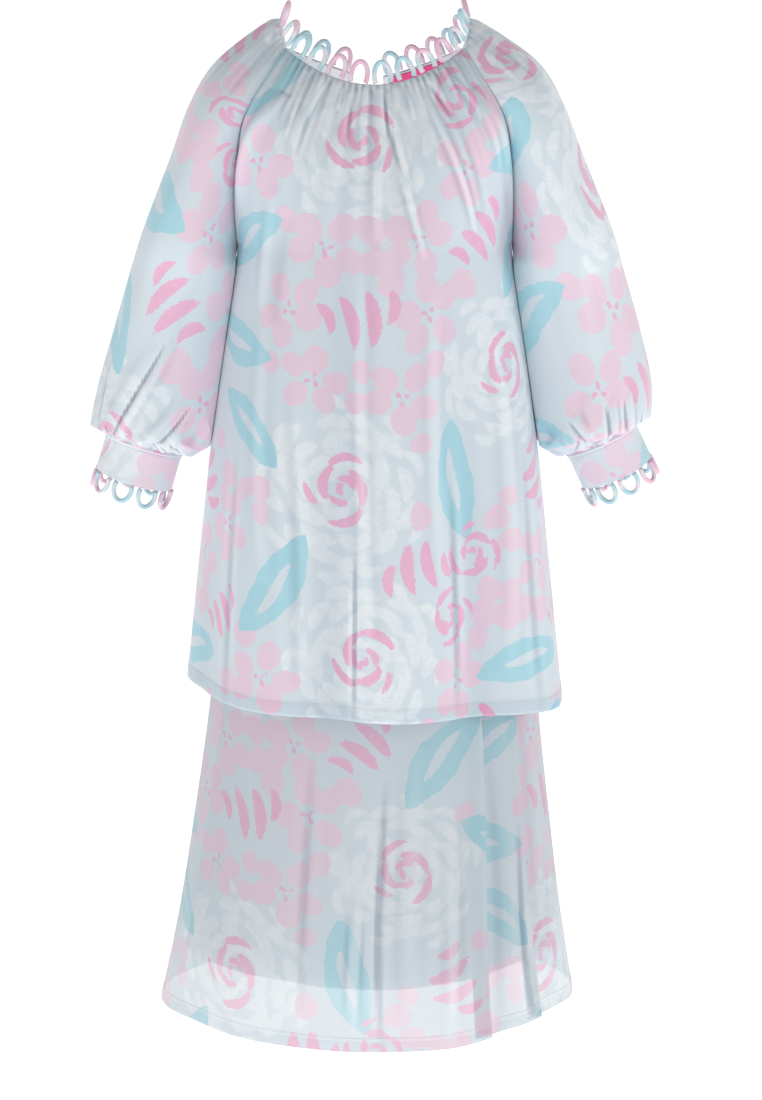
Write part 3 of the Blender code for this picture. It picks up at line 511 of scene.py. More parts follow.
def leaf_shape(near):
    """A leaf: a bent pointed oval with an uneven edge, less a pale slit along its middle."""
    length, width = 53.0, 18.5
    t = np.clip(near[:, 0] / length, -1, 1)
    wave = 1.2 * np.sin(near[:, 0] * 0.11 + 0.6) + 0.6 * np.sin(near[:, 0] * 0.31 + 1.0)
    bend = 6.5 * (1 - t * t)
    edge = (width + wave) * (1 - np.abs(t) ** 2.3) ** 0.85
    inside = np.minimum(edge - np.abs(near[:, 1] - bend), length - np.abs(near[:, 0]))
    along = np.clip(np.abs(near[:, 0] + 2) / 31, 0, 1)
    from_slit = np.abs(near[:, 1] - bend * 1.1 + 1.5 * np.sin(near[:, 0] * 0.09))
    slit = 4.8 * (1 - along ** 2) - from_slit
    return np.minimum(inside, np.where(along < 1, -slit, inside))


def open_flower(near):
    """An open flower: five round petals that stand a little apart round an empty middle."""
    best = np.full(len(near), OUTSIDE)
    for n in range(5):
        turn = 2 * math.pi * (n + 0.12 * math.sin(2.7 * n)) / 5
        out = 19.5 + 2.0 * math.sin(2.3 * n)
        ends = [((out + s) * math.cos(turn), (out + s) * math.sin(turn)) for s in (-4.0, 5.5)]
        widths = (7.6, 10.4 + math.sin(4.1 * n))
        best = np.maximum(best, stroke(near, ends, 0.8, widths, 1.0))
    return best


def flower_eye(near):
    """The eye of an open flower: three short rose strokes."""
    best = np.full(len(near), OUTSIDE)
    for n in range(3):
        turn = 2 * math.pi * n / 3 + 0.4
        ends = [(r * math.cos(turn), r * math.sin(turn)) for r in (2.5, 7.0)]
        best = np.maximum(best, stroke(near, ends, 1.0, (0.8, 2.0)))
    return best


def fan(near):
    """A fan: four bowed rose strokes, each turned a little from the last, longest in the middle."""
    best = np.full(len(near), OUTSIDE)
    for x, y, lean, reach, width in (
        (6, -28, -0.26, 12, 4.8), (0, -9.5, -0.10, 21, 6.3),
        (0, 9.5, 0.06, 22, 6.3), (7, 27.5, 0.24, 13, 4.9),
    ):
        middle = np.array([x, y])
        aside = np.array([math.cos(lean), math.sin(lean)]) * reach
        best = np.maximum(best, stroke(near, (middle - aside, middle + aside), 4.5, (1.3, width)))
    return best


def round_dab(near):
    """A round dab of the brush, about 20 mm across, a little flattened and cornered."""
    turn = np.arctan2(near[:, 1], near[:, 0])
    return 10.0 + 0.7 * np.sin(3 * turn + 0.5) - np.hypot(near[:, 0], near[:, 1] * 0.84)


# Each motif: how many there are on the tile, the radius of the room it takes and how far it
# reaches, both in mm, its least and greatest size, and its shapes with the colour of each.
MOTIFS = (
    (3, 64.0, 84.0, 0.92, 1.05, (("white", bloom_petals), ("rose", bloom_heart))),
    (7, 40.0, 68.0, 0.88, 1.04, (("aqua", leaf_shape),)),
    (10, 31.0, 44.0, 0.90, 1.12, (("blush", open_flower), ("rose", flower_eye))),
    (5, 31.0, 48.0, 0.85, 1.05, (("rose", fan),)),
    (2, 26.0, 42.0, 0.78, 0.86, (("rose", bloom_heart),)),
    (30, 10.5, 22.0, 0.78, 1.16, (("blush", round_dab),)),
)


def print_layout(seed):
    """A row for each motif on the tile: its place (m), turn, size, reach and shapes."""
    room = np.concatenate([np.full(count, radius / 1000) for count, radius, *_ in MOTIFS])
    places = spread(room, seed)
    draws = np.random.default_rng(seed + 1).random((len(room), 2))
    rows, n = [], 0
    for count, _, reach, smallest, greatest, shapes in MOTIFS:
        for _ in range(count):
            size = smallest + (greatest - smallest) * draws[n, 1]
            rows.append((places[n], 2 * math.pi * draws[n, 0], size, reach, shapes))
            n += 1
    return rows


PRINT = print_layout(PRINT_SEED)


def print_layers(cut, shift):
    """For each colour of the print, how far inside its shapes each place of the cloth is, in mm."""
    flat = cut.reshape(-1, 2) + np.array(shift)
    layers = {name: np.full(len(flat), OUTSIDE) for name in ("white", "blush", "rose", "aqua")}
    for place, turn, size, reach, shapes in PRINT:
        aside = (flat - place + TILE / 2) % TILE - TILE / 2
        near = np.hypot(*aside.T) * 1000 < reach * size
        c, s = math.cos(turn), math.sin(turn)
        turned = aside[near] @ np.array([[c, -s], [s, c]]) * 1000 / size
        for name, shape in shapes:
            layers[name][near] = np.maximum(layers[name][near], shape(turned) * size)
    return {name: np.clip(value, -8, 8) for name, value in layers.items()}


GROUND = paint(218, 229, 236)
PETAL_WHITE = paint(236, 242, 245)
BLUSH = paint(239, 212, 227)
ROSE = paint(241, 184, 212)
AQUA = paint(174, 221, 233)
CLOUDED = paint(205, 214, 224)
# The colours of painted shade for creases and gather valleys (also the darker fleck of the cloth's
# fine grain), and of a painted highlight for raised ridges.
PAINTED_SHADE_AND_GRAIN = paint(150, 160, 178)
PAINTED_HIGHLIGHT = paint(246, 249, 251)
PRINT_EDGE = 0.45
PETAL_EDGE = 1.1
EDGE_WOBBLE = 3.2
WOBBLE_SCALE = 260.0
STREAK_SCALE = 90.0
CLOUD_SCALE = 9.0
GRAIN_SCALE = 900.0
CHIFFON_THREADS = 1100.0
BUMP_DEPTH = 0.0002
HEM_DEPTH = 0.012
HEM_STEP = 0.00035
HEM_TURN = 0.0008
HEM_LINE = 0.0003
SUNKEN_REACH = 14


class Nodes:
    """Makes and joins the nodes of one material."""

    def __init__(self, made):
        self.tree = made.node_tree
        self.shader = self.tree.nodes["Principled BSDF"]

    def add(self, kind, sockets=(), **settings):
        """A node with its settings, and its inputs set to numbers or joined to other sockets."""
        made = self.tree.nodes.new("ShaderNode" + kind)
        for key, value in settings.items():
            setattr(made, key, value)
        for key, value in dict(sockets).items():
            self.put(value, made.inputs[key])
        return made

    def put(self, value, socket):
        """Joins a socket, or sets it to a number or colour."""
        if isinstance(value, bpy.types.NodeSocket):
            self.tree.links.new(value, socket)
        else:
            socket.default_value = value

    def attribute(self, name):
        """A number that the mesh holds at each point."""
        return self.add("Attribute", attribute_name=name).outputs["Fac"]

    def reckon(self, operation, *values):
        """One sum on numbers, such as ADD or MULTIPLY."""
        return self.add("Math", enumerate(values), operation=operation).outputs[0]

    def noise(self, place, scale, detail, distortion=0.0):
        """Cloudy noise from 0 to 1."""
        sockets = {"Vector": place, "Scale": scale, "Detail": detail, "Distortion": distortion}
        return self.add("TexNoise", sockets).outputs["Fac"]

    def waves(self, place, scale, direction, distortion=0.0):
        """Even bands from 0 to 1."""
        sockets = {"Vector": place, "Scale": scale, "Distortion": distortion}
        return self.add("TexWave", sockets, bands_direction=direction).outputs["Fac"]

    def span(self, value, low, high, to_low=0.0, to_high=1.0):
        """Maps a range onto another, level outside it."""
        names = ("Value", "From Min", "From Max", "To Min", "To Max")
        sockets = zip(names, (value, low, high, to_low, to_high))
        return self.add("MapRange", sockets).outputs["Result"]

    def mix(self, factor, first, second, blend="MIX"):
        """Mixes two colours."""
        made = self.add("Mix", data_type="RGBA", blend_type=blend)
        for index, value in ((0, factor), (6, first), (7, second)):
            self.put(value, made.inputs[index])
        return made.outputs[2]

    def bump(self, height, strength):
        """Raises the surface by a height of 0 to 1."""
        sockets = {"Strength": strength, "Distance": BUMP_DEPTH, "Height": height}
        self.finish({"Normal": self.add("Bump", sockets).outputs["Normal"]})

    def finish(self, inputs):
        """Joins or sets inputs of the material's own shader, by their names."""
        for key, value in inputs.items():
            self.put(value, self.shader.inputs[key])


def weave_bump(nodes, cut, threads, strength):
    """A plain weave: two crossed sets of fine waves along the cut's two ways."""
    crossed = [nodes.waves(cut, threads, direction, 0.4) for direction in ("X", "Y")]
    nodes.bump(nodes.reckon("ADD", *crossed), strength)


def printed_cloth(name, faded=0.0, alpha=1.0):
    """Printed satin chiffon: the print's colours over its ground, brushed streaks and a sheen."""
    made = plain_material(name, GROUND, 0.52)
    nodes = Nodes(made)
    cut = nodes.add("UVMap", uv_map="cut").outputs["UV"]
    wobble = nodes.noise(cut, WOBBLE_SCALE, 3.0)
    streaks = nodes.noise(cut, STREAK_SCALE, 4.0, 1.2)
    streak = nodes.span(streaks, 0.34, 0.60, 0.55, 1.0)
    dry = nodes.span(streaks, 0.30, 0.55, 0.86, 1.0)
    uneven = nodes.reckon("SUBTRACT", wobble, 0.5)
    colour = GROUND
    for layer, shade in (("white", PETAL_WHITE), ("blush", BLUSH), ("aqua", AQUA), ("rose", ROSE)):
        soft, brushed = (PETAL_EDGE, streak) if layer == "white" else (PRINT_EDGE, dry)
        inside = nodes.reckon("MULTIPLY_ADD", uneven, EDGE_WOBBLE, nodes.attribute(layer))
        cover = nodes.reckon("MULTIPLY", nodes.span(inside, -soft, soft), brushed)
        colour = nodes.mix(cover, colour, shade)
    cloudy = nodes.noise(cut, CLOUD_SCALE, 2.0)
    colour = nodes.mix(nodes.span(cloudy, 0.3, 0.7, 0.0, 0.05), colour, CLOUDED)
    from_hem = nodes.attribute("from_hem")
    double = nodes.span(from_hem, HEM_DEPTH - HEM_LINE, HEM_DEPTH + HEM_LINE, 0.42, 0.0)
    colour = nodes.mix(double, colour, colour, "MULTIPLY")
    # Painted shade in sunken places such as creases and gather valleys, and a painted highlight on
    # raised ridges.
    depth = nodes.attribute("sunken")
    colour = nodes.mix(nodes.span(depth, 0.02, 0.60, 0.0, 0.50), colour, PAINTED_SHADE_AND_GRAIN, "MULTIPLY")
    colour = nodes.mix(nodes.span(depth, -0.40, -0.02, 0.38, 0.0), colour, PAINTED_HIGHLIGHT)
    grain = nodes.noise(cut, GRAIN_SCALE, 2.0)
    colour = nodes.mix(nodes.span(grain, 0.35, 0.65, 0.0, 0.07), colour, PAINTED_SHADE_AND_GRAIN, "MULTIPLY")
    if faded:
        colour = nodes.mix(faded, colour, GROUND)
    nodes.finish({
        "Base Color": colour, "Sheen Weight": 0.25, "Sheen Roughness": 0.35,
        "Specular IOR Level": 0.35, "Alpha": alpha,
    })
    weave_bump(nodes, cut, CHIFFON_THREADS, 0.12)
    return made


def sunken(points, flip):
    """How far each place lies below its neighbours, in mm, less the mean of that round about."""
    middle = points.copy()
    middle[1:-1] = (points[:-2] + points[2:]) / 2
    beside = points.copy()
    beside[:, 1:-1] = (points[:, :-2] + points[:, 2:]) / 2
    outward = normals(points) * (-1 if flip else 1)
    depth = 1000 * ((middle + beside - 2 * points) * outward).sum(axis=2)
    width = 2 * SUNKEN_REACH + 1
    reached = np.pad(depth, ((0, 0), (SUNKEN_REACH + 1, SUNKEN_REACH)), mode="edge").cumsum(axis=1)
    return depth - (reached[:, width:] - reached[:, :-width]) / width


def flat_places(mesh, cut):
    """Writes each point's place on the flat cut into the mesh's UV map."""
    corner = np.zeros(len(mesh.loops), int)
    mesh.loops.foreach_get("vertex_index", corner)
    mesh.uv_layers.new(name="cut").data.foreach_set("uv", cut.reshape(-1, 2)[corner].ravel())


def lay_print(mesh, points, cut, shift, hem=None, flip=False, shade=0.0):
    """Writes the print, the way to the hem and how sunken the cloth is into a mesh's points; the
    material paints shade into sunken places and a highlight onto raised ones.

    shade is added to how sunken each place is: above 0 it adds painted shade, and below 0 a painted
    highlight.
    """
    flat_places(mesh, cut)
    numbers = print_layers(cut, shift)
    numbers["from_hem"] = np.full(points.shape[:2], 1.0) if hem is None else hem
    numbers["sunken"] = sunken(points, flip) + shade
    for key, value in numbers.items():
        mesh.attributes.new(key, "FLOAT", "POINT").data.foreach_set("value", np.ravel(value))


def wall_of(piece, thickness):
    """Gives a surface its wall, which grows inwards from it."""
    solid = piece.modifiers.new("Wall", "SOLIDIFY")
    solid.thickness = thickness
    solid.offset = -1
    return solid


def cloth_piece(name, points, cut, shift, sides, wall=CHIFFON, hem=None, flip=False, shade=0.0):
    """A shell of printed cloth on a grid, doubled at its hem. sides: its right and wrong side."""
    if hem is not None:
        double = HEM_STEP * (1 - ease(HEM_DEPTH - HEM_TURN, HEM_DEPTH + HEM_TURN, hem))
        points = points + double[..., None] * normals(points) * (-1 if flip else 1)
    mesh = grid_mesh(name, points, flip)
    lay_print(mesh, points, cut, shift, hem, flip, shade)
    right_side, wrong_side = sides
    piece = add_piece(name, mesh, right_side)
    mesh.materials.append(wrong_side)
    solid = wall_of(piece, wall)
    solid.material_offset = 1
    solid.material_offset_rim = 0
    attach(piece, "root")
    return piece


def up_from_end(points):
    """How far each place is above the last row, along its column."""
    down = running(np.linalg.norm(np.diff(points, axis=0), axis=2).T).T
    return down[-1:] - down


STITCH_PITCH = 0.0030
STITCH_LENGTH = 0.0022
STITCH_RADIUS = 0.00022

# A stitch: its corners, by their shares of its length and of its radius to the side and outwards.
SPINDLE = (
    (-0.5, 0, 0), (-0.25, 1, 0), (-0.25, 0, 1), (-0.25, -1, 0), (-0.25, 0, -1),
    (0.25, 1, 0), (0.25, 0, 1), (0.25, -1, 0), (0.25, 0, -1), (0.5, 0, 0),
)
SPINDLE_FACES = (
    (0, 1, 2), (0, 2, 3), (0, 3, 4), (0, 4, 1), (9, 6, 5), (9, 7, 6), (9, 8, 7), (9, 5, 8),
    (1, 5, 6, 2), (2, 6, 7, 3), (3, 7, 8, 4), (4, 8, 5, 1),
)


def unit(vector):
    """The vector's direction, one metre long."""
    return vector / np.linalg.norm(vector, axis=-1, keepdims=True)


def length_along(line):
    """How far along a line each of its points lies."""
    return np.concatenate([[0], np.linalg.norm(np.diff(line, axis=0), axis=1).cumsum()])


def read_off(places, reached, points):
    """Reads points off a line at any places along it, straight from one point to the next."""
    return np.stack([np.interp(places, reached, points[:, k]) for k in range(3)], axis=-1)


def level_line(points, heights, level, outward):
    """In each column, the place a level above a grid's last row, and its way outwards."""
    places, ways = [], []
    for n in range(points.shape[1]):
        order = np.argsort(heights[:, n])
        places.append(read_off(level, heights[order, n], points[order, n]))
        ways.append(read_off(level, heights[order, n], outward[order, n]))
    return np.array(places), np.array(ways)


def stitches(name, line, outward):
    """Short stitches of pale thread along a line: spindles, square between two pointed ends."""
    reached = length_along(line)
    middles = np.arange(STITCH_PITCH / 2, reached[-1], STITCH_PITCH)
    ends = [read_off(middles + s * STITCH_LENGTH / 2, reached, line) for s in (-1, 1)]
    way = unit(ends[1] - ends[0])
    out = read_off(middles, reached, outward)
    beside = np.cross(way, out)
    middle = read_off(middles, reached, line)
    corners = np.stack([
        middle + along * STITCH_LENGTH * way + STITCH_RADIUS * (side * beside + up * out)
        for along, side, up in SPINDLE
    ], axis=1)
    count = len(SPINDLE)
    faces = [[count * n + k for k in face] for n in range(len(middles)) for face in SPINDLE_FACES]
    mesh = bpy.data.meshes.new(name)
    mesh.from_pydata(corners.reshape(-1, 3), [], faces)
    mesh.shade_smooth()
    piece = add_piece(name, mesh, pale_thread)
    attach(piece, "root")


def thread_material():
    """Pale thread: a twisted strand's fine slanting bands and a soft gloss."""
    made = plain_material("pale_thread", paint(232, 234, 238), 0.45)
    nodes = Nodes(made)
    twist = nodes.waves(nodes.add("TexCoord").outputs["Object"], 1400.0, "DIAGONAL")
    colour = nodes.mix(twist, paint(214, 218, 226), paint(240, 242, 245))
    nodes.finish({"Base Color": colour, "Sheen Weight": 0.2})
    return made


pale_thread = thread_material()


def hem_stitches(name, panel, flip=False):
    """The row of stitches that holds a panel's hem, a hem's depth above its lower edge."""
    outward = normals(panel) * (-1 if flip else 1)
    line, out = level_line(panel, up_from_end(panel), HEM_DEPTH, outward)
    stitches(name, line + out * HEM_STEP, out)


satin_chiffon = printed_cloth("printed_satin_chiffon")
chiffon_sides = (satin_chiffon, printed_cloth("chiffon_wrong_side", faded=0.35))

front = front_cloth(trunk_rows(), edge_columns(150))
# The front is painted a little darker all over: painted shade.
tunic_front = cloth_piece(
    "tunic_front_cloth", front, flat_cut(front), (0.21, 0.02), chiffon_sides,
    hem=up_from_end(front), shade=0.13,
)
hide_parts("tunic_front")
hem_stitches("tunic_front_hem_stitches", front)

# The tunic's back: two panels of the same cloth, joined by a centre back seam that stays open at
# the neck, and gathered into the neckline like the front.

BACK_FOLDS = (
    (0.22, 0.24, 0.12, 0.010, 0.5),
    (0.46, 0.50, 0.13, -0.010, 0.8),
    (0.62, 0.66, 0.11, 0.008, 1.2),
)
OPENING_TO_LEFT = 0.006
OPENING_TO_RIGHT = 0.018
OPENING_END = 0.80
OPENING_FLAT = 0.12
BACK_CREASES = (
    (-0.030, 0.010, -0.020, 0.150, 0.003, 0.0050, 0.0015),
    (-0.005, 0.008, 0.004, 0.170, -0.003, 0.0050, -0.0015),
    (0.022, 0.010, 0.034, 0.140, 0.003, 0.0045, 0.0015),
    (-0.040, 0.220, -0.036, 0.500, 0.004, 0.0085, 0.0016),
    (0.012, 0.260, 0.018, 0.540, -0.005, 0.0080, -0.0015),
    (0.058, 0.200, 0.070, 0.480, 0.004, 0.0090, 0.0016),
)


def opening_edge(along, side):
    """How far round the back, 0 to 1, the opening's edge lies on the left (1) or right (-1)."""
    neck_half_width = TRUNK_SECTIONS[0][TRUNK_COLUMNS.index("side_x")]
    width = (OPENING_TO_LEFT if side > 0 else OPENING_TO_RIGHT) / neck_half_width
    return width * (1 - ease(0.0, OPENING_END, np.asarray(along, float)))


def back_base(along, places, side):
    """One back panel's smooth form. places run from 0 at the centre back to 1 at the side."""
    rows = np.asarray(along, float)[:, None]
    start = opening_edge(rows, side)
    share = start + (1 - start) * places[None, :]
    return trunk(along, side * share, back=True), share, start


def back_cloth(along, places, side):
    """One back panel with its folds, gathers and creases."""
    base, share, start = back_base(along, places, side)
    rows = np.asarray(along, float)[:, None]
    lift = soft_folds(share, rows, BACK_FOLDS)
    lift += gathers(2 * share - 1, below_neck(rows), 7, GATHER_HEIGHT, GATHER_RUN)
    lift += fine_gathers(2 * share - 1, below_neck(rows), 16, 0.9 + side)
    lift += creases(flat_cut(base), BACK_CREASES)
    fade = edge_fade(share) * ease(0.0, OPENING_FLAT, share - start)
    outward = -side * normals(base)
    return roll_in(base + (lift * fade)[..., None] * outward, outward)


SIDES = ((1, "left"), (-1, "right"))
for side, word in SIDES:
    panel = back_cloth(trunk_rows(), (edge_columns(76) + 1) / 2, side)
    tunic_back = cloth_piece(
        f"tunic_back_{word}_cloth", panel, flat_cut(panel), (0.09 * side + 0.3, 0.16),
        chiffon_sides, hem=up_from_end(panel), flip=side > 0,
    )
    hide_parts(f"tunic_back_{word}")
    hem_stitches(f"tunic_back_{word}_hem_stitches", panel, flip=side > 0)

# The sleeves: two raglan sleeves of the same cloth, one underarm seam each, that puff out and are
# gathered into the cuffs.

NECK_CURVE = 0.5
NECK_CURVE_END = 0.5
SHOULDER_TO_ARMPIT = 0.225
ARMPIT_TO_CUFF = 0.180
BODY_TO_SLEEVE = 0.0008
CUFF_GATHER_HEIGHT = 0.0040
CUFF_GATHER_RUN = 0.040
FINE_CUFF_GATHER_HEIGHT = 0.0017
FINE_CUFF_GATHER_RUN = 0.012
PUFF_RAISE = np.array([-0.0022, 0.0, 0.0072])
PUFF_START = 0.004
PUFF_END = (0.012, 0.034)
FORWARD = 0.42
FORWARD_ROWS = (1.0, 1.08, 1.72, 1.94)
LOWER_SPACING = 0.0016
SEAM_SHADE = 0.7
SEAM_SHADE_REACH = (0.0022, 0.0065)
SLEEVE_CREASES = {
    1: (
        (-0.060, 0.190, -0.080, 0.315, 0.003, 0.0080, 0.0018),
        (-0.100, 0.210, -0.112, 0.330, -0.003, 0.0100, -0.0014),
        (-0.1143, 0.3523, -0.083, 0.389, 0.001, 0.0019, -0.0026),
        (-0.108, 0.348, -0.076, 0.387, 0.001, 0.0040, 0.0018),
        (-0.120, 0.362, -0.096, 0.392, 0.001, 0.0034, 0.0014),
        (-0.1045, 0.369, -0.086, 0.397, 0.000, 0.0016, -0.0018),
        (-0.075, 0.378, -0.0666, 0.400, 0.000, 0.0016, -0.0018),
        (-0.080, 0.345, -0.056, 0.397, 0.005, 0.0019, -0.0024),
        (-0.073, 0.342, -0.060, 0.390, 0.003, 0.0028, 0.0018),
        (-0.0626, 0.344, -0.0414, 0.396, 0.005, 0.0018, -0.0023),
        (-0.056, 0.340, -0.040, 0.392, 0.004, 0.0034, 0.0015),
        (-0.0388, 0.362, -0.028, 0.399, 0.001, 0.0017, -0.0018),
        (-0.128, 0.372, -0.150, 0.352, 0.000, 0.0090, -0.0036),
        (-0.096, 0.335, -0.086, 0.372, 0.002, 0.0050, 0.0013),
        (-0.030, 0.290, -0.026, 0.380, 0.002, 0.0070, 0.0014),
        (0.030, 0.280, 0.022, 0.396, -0.003, 0.0050, -0.0018),
        (0.050, 0.240, 0.034, 0.392, 0.004, 0.0060, 0.0018),
        (0.085, 0.290, 0.064, 0.390, 0.003, 0.0040, -0.0018),
        (0.115, 0.250, 0.100, 0.380, -0.003, 0.0060, 0.0016),
        (-0.026, 0.003, -0.058, 0.085, 0.004, 0.0028, 0.0015),
        (-0.018, 0.003, -0.043, 0.100, 0.003, 0.0032, -0.0017),
        (-0.009, 0.003, -0.026, 0.090, 0.003, 0.0032, 0.0017),
        (-0.001, 0.003, -0.009, 0.080, 0.002, 0.0030, -0.0014),
        (0.007, 0.003, 0.006, 0.070, 0.000, 0.0032, 0.0014),
    ),
    -1: (
        (-0.050, 0.180, -0.042, 0.330, 0.004, 0.0110, 0.0018),
        (-0.105, 0.230, -0.088, 0.330, -0.003, 0.0100, -0.0014),
        (-0.0840, 0.2990, -0.0480, 0.386, 0.003, 0.0017, -0.0022),
        (-0.0900, 0.2980, -0.0560, 0.382, 0.003, 0.0044, 0.0026),
        (-0.0760, 0.3020, -0.0440, 0.370, 0.002, 0.0052, 0.0014),
        (-0.1215, 0.338, -0.070, 0.397, 0.006, 0.0017, -0.0024),
        (-0.1140, 0.335, -0.066, 0.390, 0.004, 0.0048, 0.0024),
        (-0.1200, 0.352, -0.086, 0.394, 0.003, 0.0040, 0.0016),
        (-0.0430, 0.368, -0.0440, 0.399, 0.000, 0.0016, -0.0018),
        (-0.0530, 0.374, -0.0520, 0.400, 0.000, 0.0016, -0.0020),
        (-0.0630, 0.382, -0.0600, 0.400, 0.000, 0.0015, -0.0018),
        (-0.0800, 0.378, -0.0760, 0.400, 0.001, 0.0016, -0.0018),
        (-0.0900, 0.376, -0.0840, 0.400, 0.001, 0.0016, -0.0016),
        (-0.1060, 0.370, -0.0980, 0.398, 0.001, 0.0018, -0.0016),
        (-0.1200, 0.378, -0.1480, 0.356, 0.000, 0.0100, -0.0040),
        (-0.0300, 0.320, -0.0330, 0.395, -0.002, 0.0040, -0.0016),
        (0.030, 0.280, 0.022, 0.394, 0.003, 0.0050, -0.0018),
        (0.056, 0.240, 0.040, 0.392, 0.004, 0.0060, 0.0018),
        (0.090, 0.280, 0.070, 0.390, -0.003, 0.0040, -0.0018),
        (0.118, 0.240, 0.104, 0.380, 0.003, 0.0060, 0.0016),
        (-0.027, 0.003, -0.066, 0.105, 0.005, 0.0030, -0.0016),
        (-0.019, 0.003, -0.050, 0.095, 0.003, 0.0032, 0.0017),
        (-0.011, 0.003, -0.034, 0.110, 0.003, 0.0034, -0.0017),
        (-0.002, 0.003, -0.014, 0.085, 0.002, 0.0030, 0.0015),
        (0.006, 0.003, 0.004, 0.075, 0.000, 0.0032, -0.0014),
    ),
}


def beside_trunk(points):
    """Moves a sleeve's points out to where they rest against the trunk's side, below the armpit."""
    below = [dict(zip(TRUNK_COLUMNS, row)) for row in TRUNK_SECTIONS if row[0] >= 1.0][::-1]
    heights = [row["mid_z"] for row in below]
    x, y, z = np.moveaxis(points, 2, 0)
    trunk_at = {name: np.interp(z, heights, [row[name] for row in below]) for name in TRUNK_COLUMNS}
    front_reach = trunk_at["side_y"] - trunk_at["front_y"]
    back_reach = trunk_at["back_y"] - trunk_at["side_y"]
    offset = (y - trunk_at["side_y"]) / np.where(y > trunk_at["side_y"], back_reach, front_reach)
    wall = trunk_at["side_x"] * np.sqrt(1 - np.clip(offset, -1, 1) ** 2) + BODY_TO_SLEEVE
    x = np.where(z < heights[-1], np.maximum(x, wall), x)
    return np.stack([x, y, z], axis=2)


def sleeve_parts(along, side):
    """The sleeve's columns at each row, for the left (1) or the right (-1) side."""
    rows = np.asarray(along, float)[:, None]
    part = {name: smooth(SLEEVE_COLUMNS, SLEEVE_SECTIONS, name, rows) for name in SLEEVE_COLUMNS}
    if side < 0:
        part["outer_x"] = part["outer_x"] + part["wider"]
        part["outer_z"] = part["outer_z"] - part["lower"]
    return rows, part


def sleeve_base(along, across, side):
    """A sleeve's smooth form on +X: each row goes round the arm from the front seam to the back.

    It is part of an oval: its depth goes with the sine of the angle round it, and its reach from
    the inner to the outer edge goes with the cosine.
    """
    rows, part = sleeve_parts(along, side)
    opening = np.radians(np.minimum(part["opening"], 180))
    angle = across[None, :] * opening
    reach = (np.cos(angle) - np.cos(opening)) / (1 - np.cos(opening))
    x = part["inner_x"] + (part["outer_x"] - part["inner_x"]) * reach
    power = 1 + NECK_CURVE * (1 - ease(0.0, NECK_CURVE_END, rows))
    z = part["inner_z"] + (part["outer_z"] - part["inner_z"]) * np.abs(reach) ** power
    return np.stack([x, part["mid_y"] + part["half_depth"] * np.sin(angle), z], axis=2)


def rest_forward(base, rows, across):
    """Brings a sleeve's underarm forward, where the sleeve lies against the trunk.

    Its half depth goes with the root of the sine squared plus (forward times cosine) squared, so
    the front half starts level at the trunk.
    """
    angle = np.abs(across) * math.pi
    inner = np.clip(-np.cos(angle), 0, 1)
    front = np.sqrt(np.sin(angle) ** 2 + (FORWARD * inner) ** 2) - np.abs(np.sin(angle))
    back = FORWARD * inner ** 4
    half_depth = smooth(SLEEVE_COLUMNS, SLEEVE_SECTIONS, "half_depth", rows)
    starts, full, wanes, ends = FORWARD_ROWS
    weight = ease(starts, full, rows) * (1 - ease(wanes, ends, rows))
    moved = base.copy()
    moved[..., 1] -= half_depth * weight * np.where(across < 0, front, back)
    return moved


def sleeve_cut(base, rows):
    """Flat places of a sleeve: how far round from its top, and how far along the arm."""
    around = from_middle(np.linalg.norm(np.diff(base, axis=1), axis=2))
    down = SHOULDER_TO_ARMPIT * np.minimum(rows, 1) + ARMPIT_TO_CUFF * np.maximum(rows - 1, 0)
    return np.stack([around, np.broadcast_to(down, around.shape)], axis=2)


def sleeve_cloth(along, across, side):
    """A sleeve with its gathers at both ends and its creases, on +X, and its flat places."""
    base = sleeve_base(along, across, side)
    rows = np.asarray(along, float)[:, None]
    cut = sleeve_cut(base, rows)
    from_neck = cut[..., 1]
    from_cuff = SHOULDER_TO_ARMPIT + ARMPIT_TO_CUFF - from_neck
    at = across[None, :]
    fade = edge_fade(at)
    lift = gathers(at, from_neck, 5, GATHER_HEIGHT, GATHER_RUN) * fade
    lift += fine_gathers(at, from_neck, 12, 2.2 * side) * fade
    lift += gathers(at, from_cuff, 14, CUFF_GATHER_HEIGHT, CUFF_GATHER_RUN)
    lift += fade * fine_gathers(
        at, from_cuff, 41, 0.6 * side, FINE_CUFF_GATHER_HEIGHT, FINE_CUFF_GATHER_RUN
    )
    lift += creases(cut, SLEEVE_CREASES[side]) * fade
    base = rest_forward(base, rows, at)
    outward = normals(base)
    raised = ease(0.0, PUFF_START, from_cuff) * (1 - ease(*PUFF_END, from_cuff)) * (1 - at ** 2 / 2)
    made = beside_trunk(base + lift[..., None] * outward + raised[..., None] * PUFF_RAISE)
    return roll_in(made, outward), cut


sleeve_rows = np.concatenate([
    np.linspace(0, 1, round(SHOULDER_TO_ARMPIT / SPACING) + 1),
    np.linspace(1, 2, round(ARMPIT_TO_CUFF / LOWER_SPACING) + 1)[1:],
])
for side, word in SIDES:
    made, cut = sleeve_cloth(sleeve_rows, edge_columns(176), side)
    from_cuff = SHOULDER_TO_ARMPIT + ARMPIT_TO_CUFF - cut[..., 1]
    sleeve = cloth_piece(
        f"sleeve_{word}_cloth", made * (side, 1, 1), cut, (0.12 + 0.1 * side, 0.30),
        chiffon_sides, flip=side < 0, shade=SEAM_SHADE * (1 - ease(*SEAM_SHADE_REACH, from_cuff)),
    )
    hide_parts(f"sleeve_{word}")

# The cuffs: straight deep bands of the same cloth, folded double over an interlining, with an edge
# stitch just below the sleeve.

